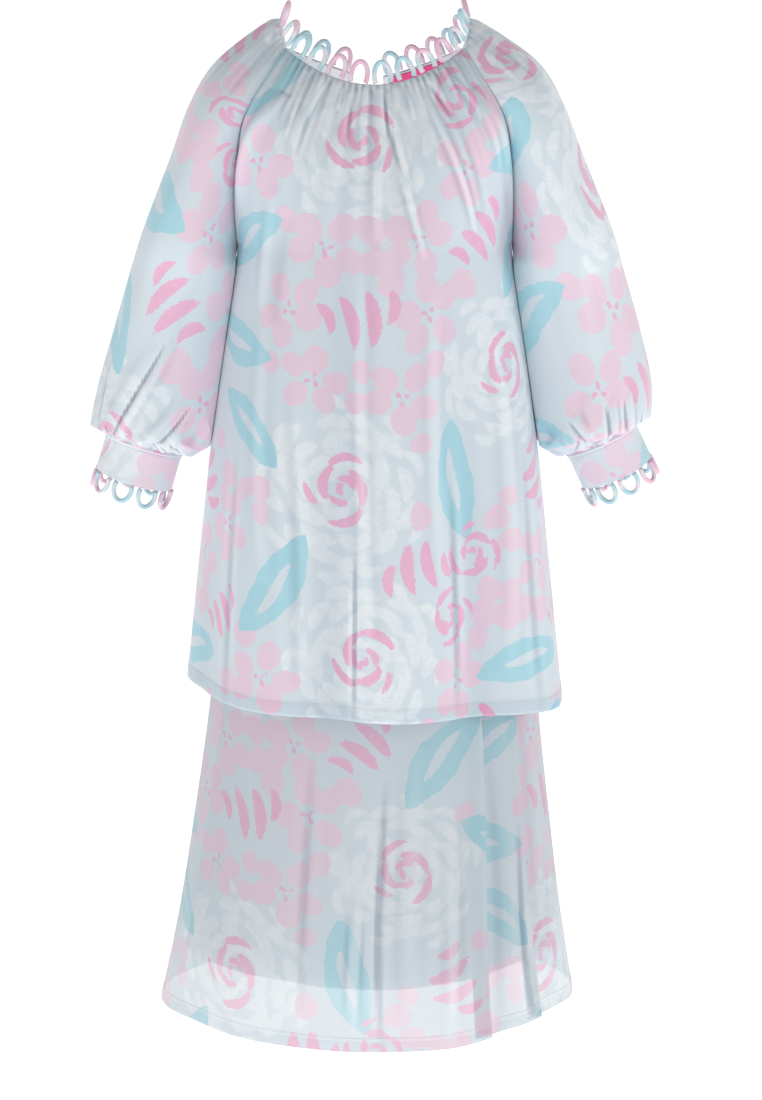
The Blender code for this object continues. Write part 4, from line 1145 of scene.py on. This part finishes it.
CUFF_HEIGHT = 0.031
CUFF_WIDENING = 0.0005
CUFF_END_HALF_DEPTH = 0.0305
CUFF_BACK_TILT = math.radians(3)
CUFF_WALL = 0.0020
CUFF_LIP = 0.0027
CUFF_STITCH = 0.0003
CUFF_DROPS = np.concatenate([
    -CUFF_LIP + np.array([0, 0.0004, 0.0009]),
    np.linspace(-0.0012, 0.0019, 13), np.linspace(0.003, 0.029, 14),
    [0.0300, 0.0306, CUFF_HEIGHT],
])
CUFF_ROUNDING = 0.0005
CUFF_FLARE = 0.0013
CUFF_GROOVE = 0.0005
CUFF_PUCKER = 0.00010
CUFF_THREAD_DROP = CUFF_STITCH + 0.0016
CUFF_THREAD_OUT = 0.0006
CUFF_PRINT = {1: (0.341, 0.088), -1: (0.164, 0.375)}
SEAM = 0.0003


def cuff_frame(side):
    """One cuff's top middle, its ways down the arm, outward and back, and its half width."""
    row = dict(zip(SLEEVE_COLUMNS, SLEEVE_SECTIONS[-1]))
    wider, lower = (row["wider"], row["lower"]) if side < 0 else (0, 0)
    outer = np.array([row["outer_x"] + wider, row["mid_y"], row["outer_z"] - lower])
    inner = np.array([row["inner_x"], row["mid_y"], row["inner_z"]])
    mirror = np.array([side, 1, 1])
    outward = unit((outer - inner) * mirror)
    level = unit(np.array([side * (outer - inner)[2], 0, -(outer - inner)[0]]))
    down = level * math.cos(CUFF_BACK_TILT) + np.array([0, math.sin(CUFF_BACK_TILT), 0])
    back = np.array([0, math.cos(CUFF_BACK_TILT), 0]) - level * math.sin(CUFF_BACK_TILT)
    return (outer + inner) / 2 * mirror, down, outward, back, np.linalg.norm(outer - inner) / 2


def cuff_points(side, drop, angle, inset=0.0):
    """Places on a cuff's outer face, drop below its top and angle round it.

    Each ring is an ellipse, which widens evenly down the cuff.
    """
    middle, down, outward, back, half_width = cuff_frame(side)
    half_depth = SLEEVE_SECTIONS[-1][SLEEVE_COLUMNS.index("half_depth")]
    drop, angle = np.broadcast_arrays(drop, angle)
    share = (drop / CUFF_HEIGHT)[..., None]
    wide = half_width + CUFF_WIDENING * share - inset
    deep = half_depth + (CUFF_END_HALF_DEPTH - half_depth) * share - inset
    ahead = np.array([0, 1, 0]) * (1 - share) + back * share
    turned = outward * wide * np.cos(angle)[..., None] + ahead * deep * np.sin(angle)[..., None]
    return middle + down * drop[..., None] + turned


def cuff_inset(drops, angles):
    """How far a cuff's face lies inside its smooth form.

    It is rounded at both edges, the top edge stands out, and there is a groove at its stitches with
    small puckers below them.
    """
    rim = np.exp(-((drops + CUFF_LIP) / 0.0006)) + np.exp(-((CUFF_HEIGHT - drops) / 0.0007))
    flare = 1 - ease(-0.0012, 0.0022, drops)
    groove = bell(drops - CUFF_STITCH, 0.0005)
    inset = CUFF_ROUNDING * rim - CUFF_FLARE * flare + CUFF_GROOVE * groove
    pucker = np.sin(41 * angles + 3 * np.sin(5 * angles)) * (0.6 + 0.4 * np.sin(7 * angles))
    pucker = CUFF_PUCKER * pucker[None, :] * (1 - ease(0.001, 0.012, drops))[:, None]
    return (inset[:, None] + pucker)[..., None]


def cuff_shade(drops):
    """Painted shade along a cuff's stitches, a painted highlight on the edge that stands above them,
    and the whole band painted a little lighter.
    """
    return 0.55 * bell(drops - CUFF_STITCH, 0.0006) - (1 - ease(-0.0012, -0.0002, drops)) - 0.2


for side, word in SIDES:
    drops, angles = CUFF_DROPS, np.linspace(-math.pi, math.pi, 121)
    band = cuff_points(side, drops[:, None], angles[None, :], cuff_inset(drops, angles))
    cut = np.stack(np.broadcast_arrays(angles[None, :] * 0.030, drops[:, None] + 0.4), axis=2)
    cuff = cloth_piece(
        f"cuff_{word}_cloth", band, cut, CUFF_PRINT[side], chiffon_sides,
        wall=CUFF_WALL, flip=side < 0, shade=cuff_shade(drops)[:, None],
    )
    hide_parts(f"cuff_{word}")
    edge = cuff_points(side, CUFF_THREAD_DROP, angles[::-side], -CUFF_THREAD_OUT)
    out = unit(edge - cuff_points(side, CUFF_THREAD_DROP, angles[::-side], 0.001))
    stitches(f"cuff_{word}_edge_stitches", edge, out)

# The neck facing and label: a plain pale strip turned inside the neckline, and a bare satin label
# sewn inside it, beside the back opening.

FACING_DEPTH = 0.014
FACING_GAP = 0.0008
FACING_WALL = 0.0006
WALL = 0.001
LABEL_WIDTH = 0.052
LABEL_DROP = 0.030
LABEL_BELOW_NECK = 0.001
LABEL_FROM_OPENING = 0.0045
LABEL_RIPPLE = 0.0006
LABEL_WALL = 0.0005


def neck_line(rows, front_count=64, sleeve_count=40, back_count=32):
    """The plain neck edge and the cloth below it, all round, from the back opening's right edge."""
    places = np.linspace(0, 1, back_count + 1)
    over = np.linspace(-1, 1, sleeve_count + 1)
    left_back = back_base(rows, places, 1)[0]
    right_back = back_base(rows, places, -1)[0]
    left_sleeve = sleeve_base(rows, over, 1)
    right_sleeve = sleeve_base(rows, over, -1) * (-1, 1, 1)
    middle = trunk(rows, np.linspace(-1, 1, front_count + 1))
    parts = [right_back, right_sleeve[:, ::-1], middle, left_sleeve, left_back[:, ::-1]]
    return np.concatenate([parts[0]] + [part[:, 1:] for part in parts[1:]], axis=1)


def plain_cloth(name, colour, roughness, threads, sheen):
    """Plain woven cloth in one colour, with a fine weave and faint unevenness."""
    made = plain_material(name, colour, roughness)
    nodes = Nodes(made)
    cut = nodes.add("UVMap", uv_map="cut").outputs["UV"]
    cloudy = nodes.span(nodes.noise(cut, 40.0, 3.0), 0.3, 0.7, 0.0, 0.35)
    darker = (*(0.86 * part for part in colour[:3]), 1.0)
    nodes.finish({"Base Color": nodes.mix(cloudy, colour, darker), "Sheen Weight": sheen})
    weave_bump(nodes, cut, threads, 0.2)
    return made


def plain_piece(name, points, cut, finish, wall, flip=False):
    """A shell of plain cloth on a grid."""
    mesh = grid_mesh(name, points, flip)
    flat_places(mesh, cut)
    piece = add_piece(name, mesh, finish)
    wall_of(piece, wall)
    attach(piece, "root")
    return piece


facing_cloth = plain_cloth("facing_cloth", paint(238, 239, 243), 0.7, 1300.0, 0.1)
label_satin = plain_cloth("label_ribbon", paint(243, 66, 138), 0.4, 900.0, 0.3)
facing_rows = np.linspace(0.0, FACING_DEPTH / NECK_TO_ARMPIT, 7)
shell = neck_line(facing_rows)
inward = -normals(shell)
facing = plain_piece(
    "neck_facing_cloth", shell + inward * (WALL + FACING_GAP), flat_cut(shell), facing_cloth,
    FACING_WALL,
)
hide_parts("neck_facing")

label_rows = np.linspace(LABEL_BELOW_NECK, LABEL_BELOW_NECK + LABEL_DROP, 13) / NECK_TO_ARMPIT
panel = back_base(label_rows, np.linspace(0, 1, 81), 1)[0]
ends = (LABEL_FROM_OPENING, LABEL_FROM_OPENING + LABEL_WIDTH)
taken = slice(*np.searchsorted(length_along(panel[0]), ends))
ripple = LABEL_RIPPLE * np.sin(np.linspace(0, 3 * math.pi, panel[:, taken].shape[1]))[None, :, None]
patch = panel[:, taken] + normals(panel)[:, taken] * (2 * (WALL + FACING_GAP) + ripple)
label = plain_piece(
    "neck_label_ribbon", patch, flat_cut(patch), label_satin, LABEL_WALL, flip=True
)
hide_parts("neck_label")

# The loops: thin bias cords of the printed cloth, sewn into the neckline and the cuffs' lower
# edges. Each is one turned cord bent into an oval, in the colour of the print it was cut from.

CORD_RADIUS = 0.0021
LOOP_SPREAD = math.radians(115)
NECK_LOOP_HALF_WIDTH = 0.0068
NECK_LOOP_HEIGHT = 0.0170
NECK_LOOPS = 23
NECK_LOOP_PITCH = 0.019
CUFF_LOOP_HALF_WIDTH = 0.0078
CUFF_LOOP_HEIGHT = 0.0155
CUFF_LOOPS = 9
LOOP_LEAN = 0.35
LOOP_FOOT = 0.0081
LOOP_END_REACH = 0.0005
LOOP_WAY_ANGLE = 0.05
LOOP_STEPS = 33
CORD_SIDES = 12
TINTS = (
    0.9, 0.15, 0.1, 0.55, 0.95, 0.9, 0.5, 0.1, 0.3, 0.85, 0.9, 0.2,
    0.15, 0.6, 0.9, 0.4, 0.1, 0.9, 0.55, 0.2, 0.85, 0.95, 0.3,
)


def loop_paths(feet, ups, sideways, half_width, height):
    """Oval arcs that stand on their feet: sideways goes with the sine of an angle, up with its
    cosine."""
    angles = np.linspace(-LOOP_SPREAD, LOOP_SPREAD, LOOP_STEPS)[None, :, None]
    rise = height / (1 - math.cos(LOOP_SPREAD))
    over = rise * (np.cos(angles) - math.cos(LOOP_SPREAD))
    return feet[:, None] + half_width * np.sin(angles) * sideways[:, None] + over * ups[:, None]


def cord_loops(name, paths, plane, tints, nodes):
    """Round cords along all the paths at once: a circle carried along each, with closed ends."""
    count, steps = paths.shape[:2]
    way = unit(np.gradient(paths, axis=1))
    flat = np.broadcast_to(plane[:, None], way.shape)
    beside = unit(np.cross(way, flat))
    turn = np.linspace(0, 2 * math.pi, CORD_SIDES, endpoint=False)
    upright = unit(np.cross(beside, way))
    ring = np.cos(turn)[:, None] * beside[:, :, None] + np.sin(turn)[:, None] * upright[:, :, None]
    points = paths[:, :, None] + CORD_RADIUS * ring
    index = np.arange(count * steps * CORD_SIDES).reshape(count, steps, CORD_SIDES)
    after = np.roll(index, -1, axis=2)
    sides = np.stack([index[:, :-1], after[:, :-1], after[:, 1:], index[:, 1:]], axis=-1)
    faces = [*sides.reshape(-1, 4).tolist(), *index[:, 0, ::-1].tolist(), *index[:, -1].tolist()]
    mesh = bpy.data.meshes.new(name)
    mesh.from_pydata(points.reshape(-1, 3), [], faces)
    mesh.shade_smooth()
    tint = np.asarray(tints)[:, None, None]
    tint = tint + 0.25 * np.sin(9 * np.linspace(0, 1, steps)[None, :, None] + 5 * tint)
    values = np.broadcast_to(tint, index.shape).ravel()
    mesh.attributes.new("tint", "FLOAT", "POINT").data.foreach_set("value", values)
    piece = add_piece(name, mesh, bias_cord)
    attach(piece, "root")
    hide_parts(*nodes)


def bias_cord_material():
    """Bias cord: blush, pale or aqua by each loop's tint, with a slanting weave."""
    made = plain_material("bias_cord", BLUSH, 0.5)
    nodes = Nodes(made)
    place = nodes.add("TexCoord").outputs["Object"]
    patchy = nodes.reckon("SUBTRACT", nodes.noise(place, 120.0, 2.0), 0.5)
    tint = nodes.reckon("MULTIPLY_ADD", patchy, 0.5, nodes.attribute("tint"))
    ramp = nodes.add("ValToRGB", {"Fac": tint})
    aqua, blush = ramp.color_ramp.elements
    aqua.position, aqua.color = 0.20, paint(186, 222, 232)
    blush.position, blush.color = 0.80, paint(240, 196, 218)
    ramp.color_ramp.elements.new(0.5).color = paint(234, 234, 238)
    nodes.finish({"Base Color": ramp.outputs["Color"], "Sheen Weight": 0.3})
    nodes.bump(nodes.waves(place, 420.0, "DIAGONAL"), 0.25)
    return made


bias_cord = bias_cord_material()


def neck_loop_frames():
    """Feet, ups and sideways ways of the neckline's loops, evenly set along the facing's line.

    Each foot is raised clear of the neck edge under its cord.
    """
    rows = (0.0, FACING_DEPTH / NECK_TO_ARMPIT / 2, FACING_DEPTH / NECK_TO_ARMPIT)
    around = neck_line(rows, 16, 10, 8)
    line = (around - normals(around) * (WALL + FACING_GAP / 2))[0]
    reached = length_along(line)
    middle = (np.arange(NECK_LOOPS) + 0.5) * reached[-1] / NECK_LOOPS
    feet = read_off(middle, reached, line)
    ends = [read_off(middle + s * NECK_LOOP_PITCH, reached, line) for s in (-1, 1)]
    sideways = unit(ends[1] - ends[0])
    below = read_off(middle, reached, around[2])
    ups = unit(np.array([0, 0, 1.0]) + LOOP_LEAN * unit(feet - below))
    ups = unit(ups - sideways * (ups * sideways).sum(axis=1, keepdims=True))
    under = LOOP_FOOT - CORD_RADIUS * np.array([2, 1, 0])
    span = middle[:, None] + np.concatenate([-under, under])[None, :]
    above = (read_off(span, reached, around[0]) - feet[:, None]) * ups[:, None]
    clear = above.sum(axis=2).max(axis=1)
    feet = feet + ups * (SEAM + LOOP_END_REACH + np.maximum(0.0, clear))[:, None]
    return feet, ups, sideways


feet, ups, sideways = neck_loop_frames()
cord_loops(
    "neck_loops_cord",
    loop_paths(feet, ups, sideways, NECK_LOOP_HALF_WIDTH, NECK_LOOP_HEIGHT),
    np.cross(sideways, ups),
    TINTS,
    [f"neck_loop_{n + 1}" for n in range(NECK_LOOPS)],
)
for side, word in SIDES:
    inset = CUFF_WALL / 2
    fine = np.linspace(-math.pi, math.pi, 721)
    edge = cuff_points(side, CUFF_HEIGHT, fine, inset)
    reached = length_along(edge)
    angles = np.interp((np.arange(CUFF_LOOPS) + 0.5) * reached[-1] / CUFF_LOOPS, reached, fine)
    down = cuff_frame(side)[1]
    feet = cuff_points(side, CUFF_HEIGHT, angles, inset) + down * (SEAM + LOOP_END_REACH)
    sideways = unit(
        cuff_points(side, CUFF_HEIGHT, angles + LOOP_WAY_ANGLE, inset)
        - cuff_points(side, CUFF_HEIGHT, angles - LOOP_WAY_ANGLE, inset)
    )
    ups = np.broadcast_to(down, feet.shape)
    cord_loops(
        f"cuff_{word}_loops_cord",
        loop_paths(feet, ups, sideways, CUFF_LOOP_HALF_WIDTH, CUFF_LOOP_HEIGHT),
        np.cross(sideways, ups),
        TINTS[3 * (side + 1):][:CUFF_LOOPS],
        [f"cuff_{word}_loop_{n + 1}" for n in range(CUFF_LOOPS)],
    )

# The skirt: a front with two knife pleats laid on the wearer's left, and a plain back, of the same
# printed cloth, joined by two side seams.

SKIRT_COLUMNS = ("height", "half_width", "front_y", "back_y", "mid_x")
SKIRT_SECTIONS = (
    (-0.300, 0.0960, -0.0740, 0.0720, 0.000),
    (-0.345, 0.1130, -0.0860, 0.0820, 0.000),
    (-0.420, 0.1290, -0.0960, 0.0900, 0.000),
    (-0.510, 0.1385, -0.1030, 0.0970, 0.001),
    (-0.600, 0.1480, -0.1110, 0.1030, -0.001),
    (-0.700, 0.1610, -0.1190, 0.1110, -0.003),
    (-0.790, 0.1740, -0.1270, 0.1180, -0.005),
    (-0.873, 0.1890, -0.1360, 0.1240, -0.0075),
)
SKIRT_TOP = -0.300
SKIRT_HEM = -0.873
SKIRT_HEM_NARROWER = 0.003
SKIRT_FOLDS = (
    (-0.62, -0.62, 0.12, -0.003, 0.2),
    (-0.30, -0.34, 0.16, 0.004, 0.2),
    (0.02, 0.04, 0.13, -0.003, 0.3),
    (0.24, 0.27, 0.13, 0.005, 0.2),
)
SKIRT_LIFT_START = -0.700
HEM_LIFT_COLUMNS = ("across", "lift")
SKIRT_HEM_LIFT = (
    (-1.00, 0.0010),
    (-0.60, 0.0060),
    (-0.30, 0.0050),
    (0.03, 0.0000),
    (0.30, 0.0030),
    (0.60, 0.0095),
    (1.00, 0.0080),
)
PLEATS = (0.435, 0.64)
PLEAT_UNDERLAY = 0.066
PLEAT_MIDDLE = 0.0033
PLEAT_BOTTOM = 0.0048
PLEAT_RETURN = (0.15, 0.7)
PLEAT_TURN_STEPS = 7
PLEAT_SLANT = 0.045
PLEAT_SLANT_SPREAD = 0.25
PLEAT_SLANT_START = -0.600
SKIRT_CREASES = (
    (-0.110, 0.420, -0.122, 0.560, 0.003, 0.0045, 0.0012),
    (-0.060, 0.300, -0.070, 0.550, 0.004, 0.0090, 0.0014),
    (0.010, 0.320, 0.016, 0.560, -0.004, 0.0085, -0.0012),
    (0.070, 0.280, 0.086, 0.560, 0.005, 0.0090, 0.0014),
    (-0.150, 0.300, -0.166, 0.540, 0.003, 0.0070, -0.0012),
    (-0.088, 0.330, -0.098, 0.575, 0.004, 0.0050, -0.0016),
    (-0.034, 0.360, -0.038, 0.575, -0.003, 0.0060, 0.0016),
    (0.040, 0.380, 0.050, 0.575, 0.003, 0.0050, -0.0014),
    (0.104, 0.340, 0.122, 0.575, 0.004, 0.0050, 0.0016),
    (0.150, 0.320, 0.176, 0.575, 0.003, 0.0070, -0.0014),
)


def skirt_along(height):
    """Where a height lies down the skirt, from 0 at its waist to 2 at its hem."""
    return 2 * (height - SKIRT_TOP) / (SKIRT_HEM - SKIRT_TOP)


def skirt_parts(height):
    """The skirt's columns at each height."""
    rows = np.asarray(height, float)[:, None]
    return rows, {name: smooth(SKIRT_COLUMNS, SKIRT_SECTIONS, name, rows) for name in SKIRT_COLUMNS}


def skirt_ways(height, across, back):
    """Outward and sideways unit ways of the skirt's oval rings."""
    _, part = skirt_parts(height)
    angle = across * math.pi / 2
    deep = part["back_y"] if back else -part["front_y"]
    facing = 1 if back else -1
    out_x, out_y = np.sin(angle) / part["half_width"], facing * np.cos(angle) / deep
    size = np.hypot(out_x, out_y)
    level = np.zeros_like(size)
    outward = np.stack([out_x / size, out_y / size, level], axis=2)
    return outward, np.stack([facing * out_y / size, -facing * out_x / size, level], axis=2)


def skirt_ring(height, across, back):
    """A half ring of the skirt, from its right side seam to its left one: half an ellipse, whose
    rows rise a little towards the hem where the hem does."""
    rows, part = skirt_parts(height)
    angle = across * math.pi / 2
    x = part["mid_x"] + part["half_width"] * np.sin(angle)
    y = (part["back_y"] if back else part["front_y"]) * np.cos(angle)
    lift = smooth(HEM_LIFT_COLUMNS, SKIRT_HEM_LIFT, "lift", across)
    if back:
        lift = np.interp(across, (-1, 1), (SKIRT_HEM_LIFT[0][1], SKIRT_HEM_LIFT[-1][1]))
    z = rows + lift * ease(-SKIRT_LIFT_START, -SKIRT_HEM, -rows)
    return np.stack([x, y, z], axis=2)


def pleat_section(steps):
    """The front's section, as rows of place round the front, inward depth, turn and underlay share.

    At each pleat the cloth turns under on a half circle, runs back below itself, turns again on a
    half circle and runs out.
    """
    places = []
    edges = (-1.0, *PLEATS, 1.0)
    for n, (low, high) in enumerate(zip(edges[:-1], edges[1:])):
        for t in np.linspace(0, 1, round(steps * (high - low) / 2) + 1)[min(n, 1):-1]:
            came_out = PLEAT_BOTTOM * (1 - ease(*PLEAT_RETURN, t)) if n else 0.0
            places.append((low + (high - low) * t, came_out, 0.0, 0.0))
        if high < 1.0:
            turn = np.linspace(0, math.pi, PLEAT_TURN_STEPS + 1)
            laid = np.linspace(0.1, 0.9, 9)
            for top, bottom, way, under in (
                (0.0, PLEAT_MIDDLE, 1, 0.0), (PLEAT_MIDDLE, PLEAT_BOTTOM, -1, 1.0)
            ):
                radius = (bottom - top) / 2
                for a in turn:
                    depth = top + radius * (1 - math.cos(a))
                    places.append((high, depth, way * radius * math.sin(a), -under))
                places += [(high, bottom, 0.0, -share) for share in laid[::way]]
    places.append((1.0, 0.0, 0.0, 0.0))
    return np.array(places)


def skirt_front_cloth(height, steps):
    """The front of the skirt with its pleats, soft folds and creases."""
    rows = np.asarray(height, float)[:, None]
    place, depth, turn, underlay = (column[None, :] for column in pleat_section(steps).T)
    nearer = np.exp(-(((place - PLEATS[0]) / PLEAT_SLANT_SPREAD) ** 2)) * edge_fade(place)
    across = place - PLEAT_SLANT * nearer * ease(-PLEAT_SLANT_START, -SKIRT_HEM, -rows)
    outward, sideways = skirt_ways(height, across, back=False)
    base = skirt_ring(height, across, back=False)
    lift = soft_folds(across, skirt_along(rows), SKIRT_FOLDS) * edge_fade(across) - depth
    lift += creases(flat_cut(base), SKIRT_CREASES) * edge_fade(across)
    _, part = skirt_parts(height)
    shift = turn + underlay * PLEAT_UNDERLAY * part["half_width"]
    return base + lift[..., None] * outward + shift[..., None] * sideways


def skirt_back_cloth(height, across):
    """The back of the skirt with its soft folds and creases."""
    rows = np.asarray(height, float)[:, None]
    across = np.broadcast_to(across, (len(rows), len(across)))
    base = skirt_ring(height, across, back=True)
    lift = soft_folds(across, skirt_along(rows), SKIRT_FOLDS)
    lift += creases(flat_cut(base), SKIRT_CREASES)
    outward = skirt_ways(height, across, back=True)[0]
    return base + (lift * edge_fade(across))[..., None] * outward


skirt_sides = (
    printed_cloth("skirt_chiffon", alpha=0.56),
    printed_cloth("skirt_wrong_side", faded=0.45, alpha=0.46),
)
skirt_rows = np.linspace(SKIRT_TOP, SKIRT_HEM, round((SKIRT_TOP - SKIRT_HEM) / SPACING) + 1)
front = skirt_front_cloth(skirt_rows, 122)
skirt_front = cloth_piece(
    "skirt_front_cloth", front, flat_cut(front), (0.05, 0.27), skirt_sides,
    hem=up_from_end(front) + SKIRT_HEM_NARROWER,
)
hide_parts("skirt_front")
hem_stitches("skirt_front_hem_stitches", front)
back = skirt_back_cloth(skirt_rows, edge_columns(104))
skirt_back = cloth_piece(
    "skirt_back_cloth", back, flat_cut(back), (0.25, 0.11), skirt_sides,
    hem=up_from_end(back) + SKIRT_HEM_NARROWER, flip=True,
)
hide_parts("skirt_back")
hem_stitches("skirt_back_hem_stitches", back, flip=True)

# The skirt's lining: a front and a back of plain thin cloth, shorter and a little narrower than the
# skirt, sewn into the same waistband. Its hem shows through the chiffon.

LINING_HEM = -0.822
LINING_INSET = 0.0070
LINING_HEM_INSET = 0.012
LINING_NARROWS_OVER = 0.080
LINING_RIPPLE = 0.0012
LINING_WALL = 0.0005


def lining_cloth(height, across, back):
    """A lining half: the skirt's ring drawn in, more below the waist, with a ripple that grows."""
    rows = np.asarray(height, float)[:, None]
    along = skirt_along(rows)
    across = np.broadcast_to(across, (len(rows), len(across)))
    narrower = ease(0.0, LINING_NARROWS_OVER, SKIRT_TOP - rows)
    inset = LINING_INSET + (LINING_HEM_INSET - LINING_INSET) * narrower
    grown = edge_fade(across) * ease(0.3, 2, along)
    ripple = LINING_RIPPLE * np.sin(23 * across + 3 * along) * grown
    outward = skirt_ways(height, across, back)[0]
    return skirt_ring(height, across, back) + (ripple - inset)[..., None] * outward


plain_lining = plain_cloth("plain_lining", paint(246, 247, 249), 0.6, 1300.0, 0.1)
lining_rows = np.linspace(SKIRT_TOP, LINING_HEM, 66)
for word, back in (("front", False), ("back", True)):
    points = lining_cloth(lining_rows, np.linspace(-0.995, 0.995, 67), back)
    lining = plain_piece(
        f"lining_{word}_cloth", points, flat_cut(points), plain_lining, LINING_WALL,
        flip=back,
    )
    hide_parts(f"lining_{word}")

# The waistband: a casing of the printed cloth, sewn round the top of the skirt and its lining, and
# gathered by the elastic inside it.

WAISTBAND_HEIGHT = 0.028
WAISTBAND_WALL = 0.0080
WAISTBAND_EDGE = 0.0008
WAISTBAND_SQUARENESS = 0.45
WAISTBAND_GATHERS = 72
WAISTBAND_GATHER_HEIGHT = 0.0006
WAISTBAND_CUT = (0.53, 0.07)
WAISTBAND_GRID = (41, 289)


def rounded(wave):
    """A wave drawn towards its ends, which makes a circle a rounded square."""
    return np.sign(wave) * np.abs(wave) ** WAISTBAND_SQUARENESS


def waistband_cloth():
    """A closed ring: its section is a rounded box, and small gathers run up and down its faces."""
    rows, columns = WAISTBAND_GRID
    turn = np.linspace(0, 2 * math.pi, columns)[None, :]
    around = np.linspace(0, 2 * math.pi, rows)[:, None]
    waist = dict(zip(SKIRT_COLUMNS, SKIRT_SECTIONS[0]))
    box_x, box_z = rounded(np.cos(around)), rounded(np.sin(around))
    waves = np.sin(WAISTBAND_GATHERS * turn + 0.8 * np.sin(7 * turn))
    gather = WAISTBAND_GATHER_HEIGHT * waves * (1 - 0.6 * box_z ** 4)
    half = WAISTBAND_WALL / 2
    inset = half - (half - WAISTBAND_EDGE) * box_x - gather * box_x
    x = (waist["half_width"] - inset) * np.sin(turn)
    deep = np.where(np.cos(turn) > 0, -waist["front_y"] - inset, waist["back_y"] - inset)
    z = SKIRT_TOP + 2 * SEAM + WAISTBAND_HEIGHT / 2 * (1 + box_z)
    return np.stack(np.broadcast_arrays(x, -deep * np.cos(turn), z), axis=2)


band = waistband_cloth()
cut_x, cut_y = (
    np.linspace(0, size, count) for size, count in zip(WAISTBAND_CUT, WAISTBAND_GRID[::-1])
)
mesh = grid_mesh("skirt_waistband_cloth", band)
lay_print(mesh, band, np.stack(np.meshgrid(cut_x, cut_y), axis=2), (0.1, 0.1))
waistband = add_piece("skirt_waistband_cloth", mesh, satin_chiffon)
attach(waistband, "root")
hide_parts("skirt_waistband")
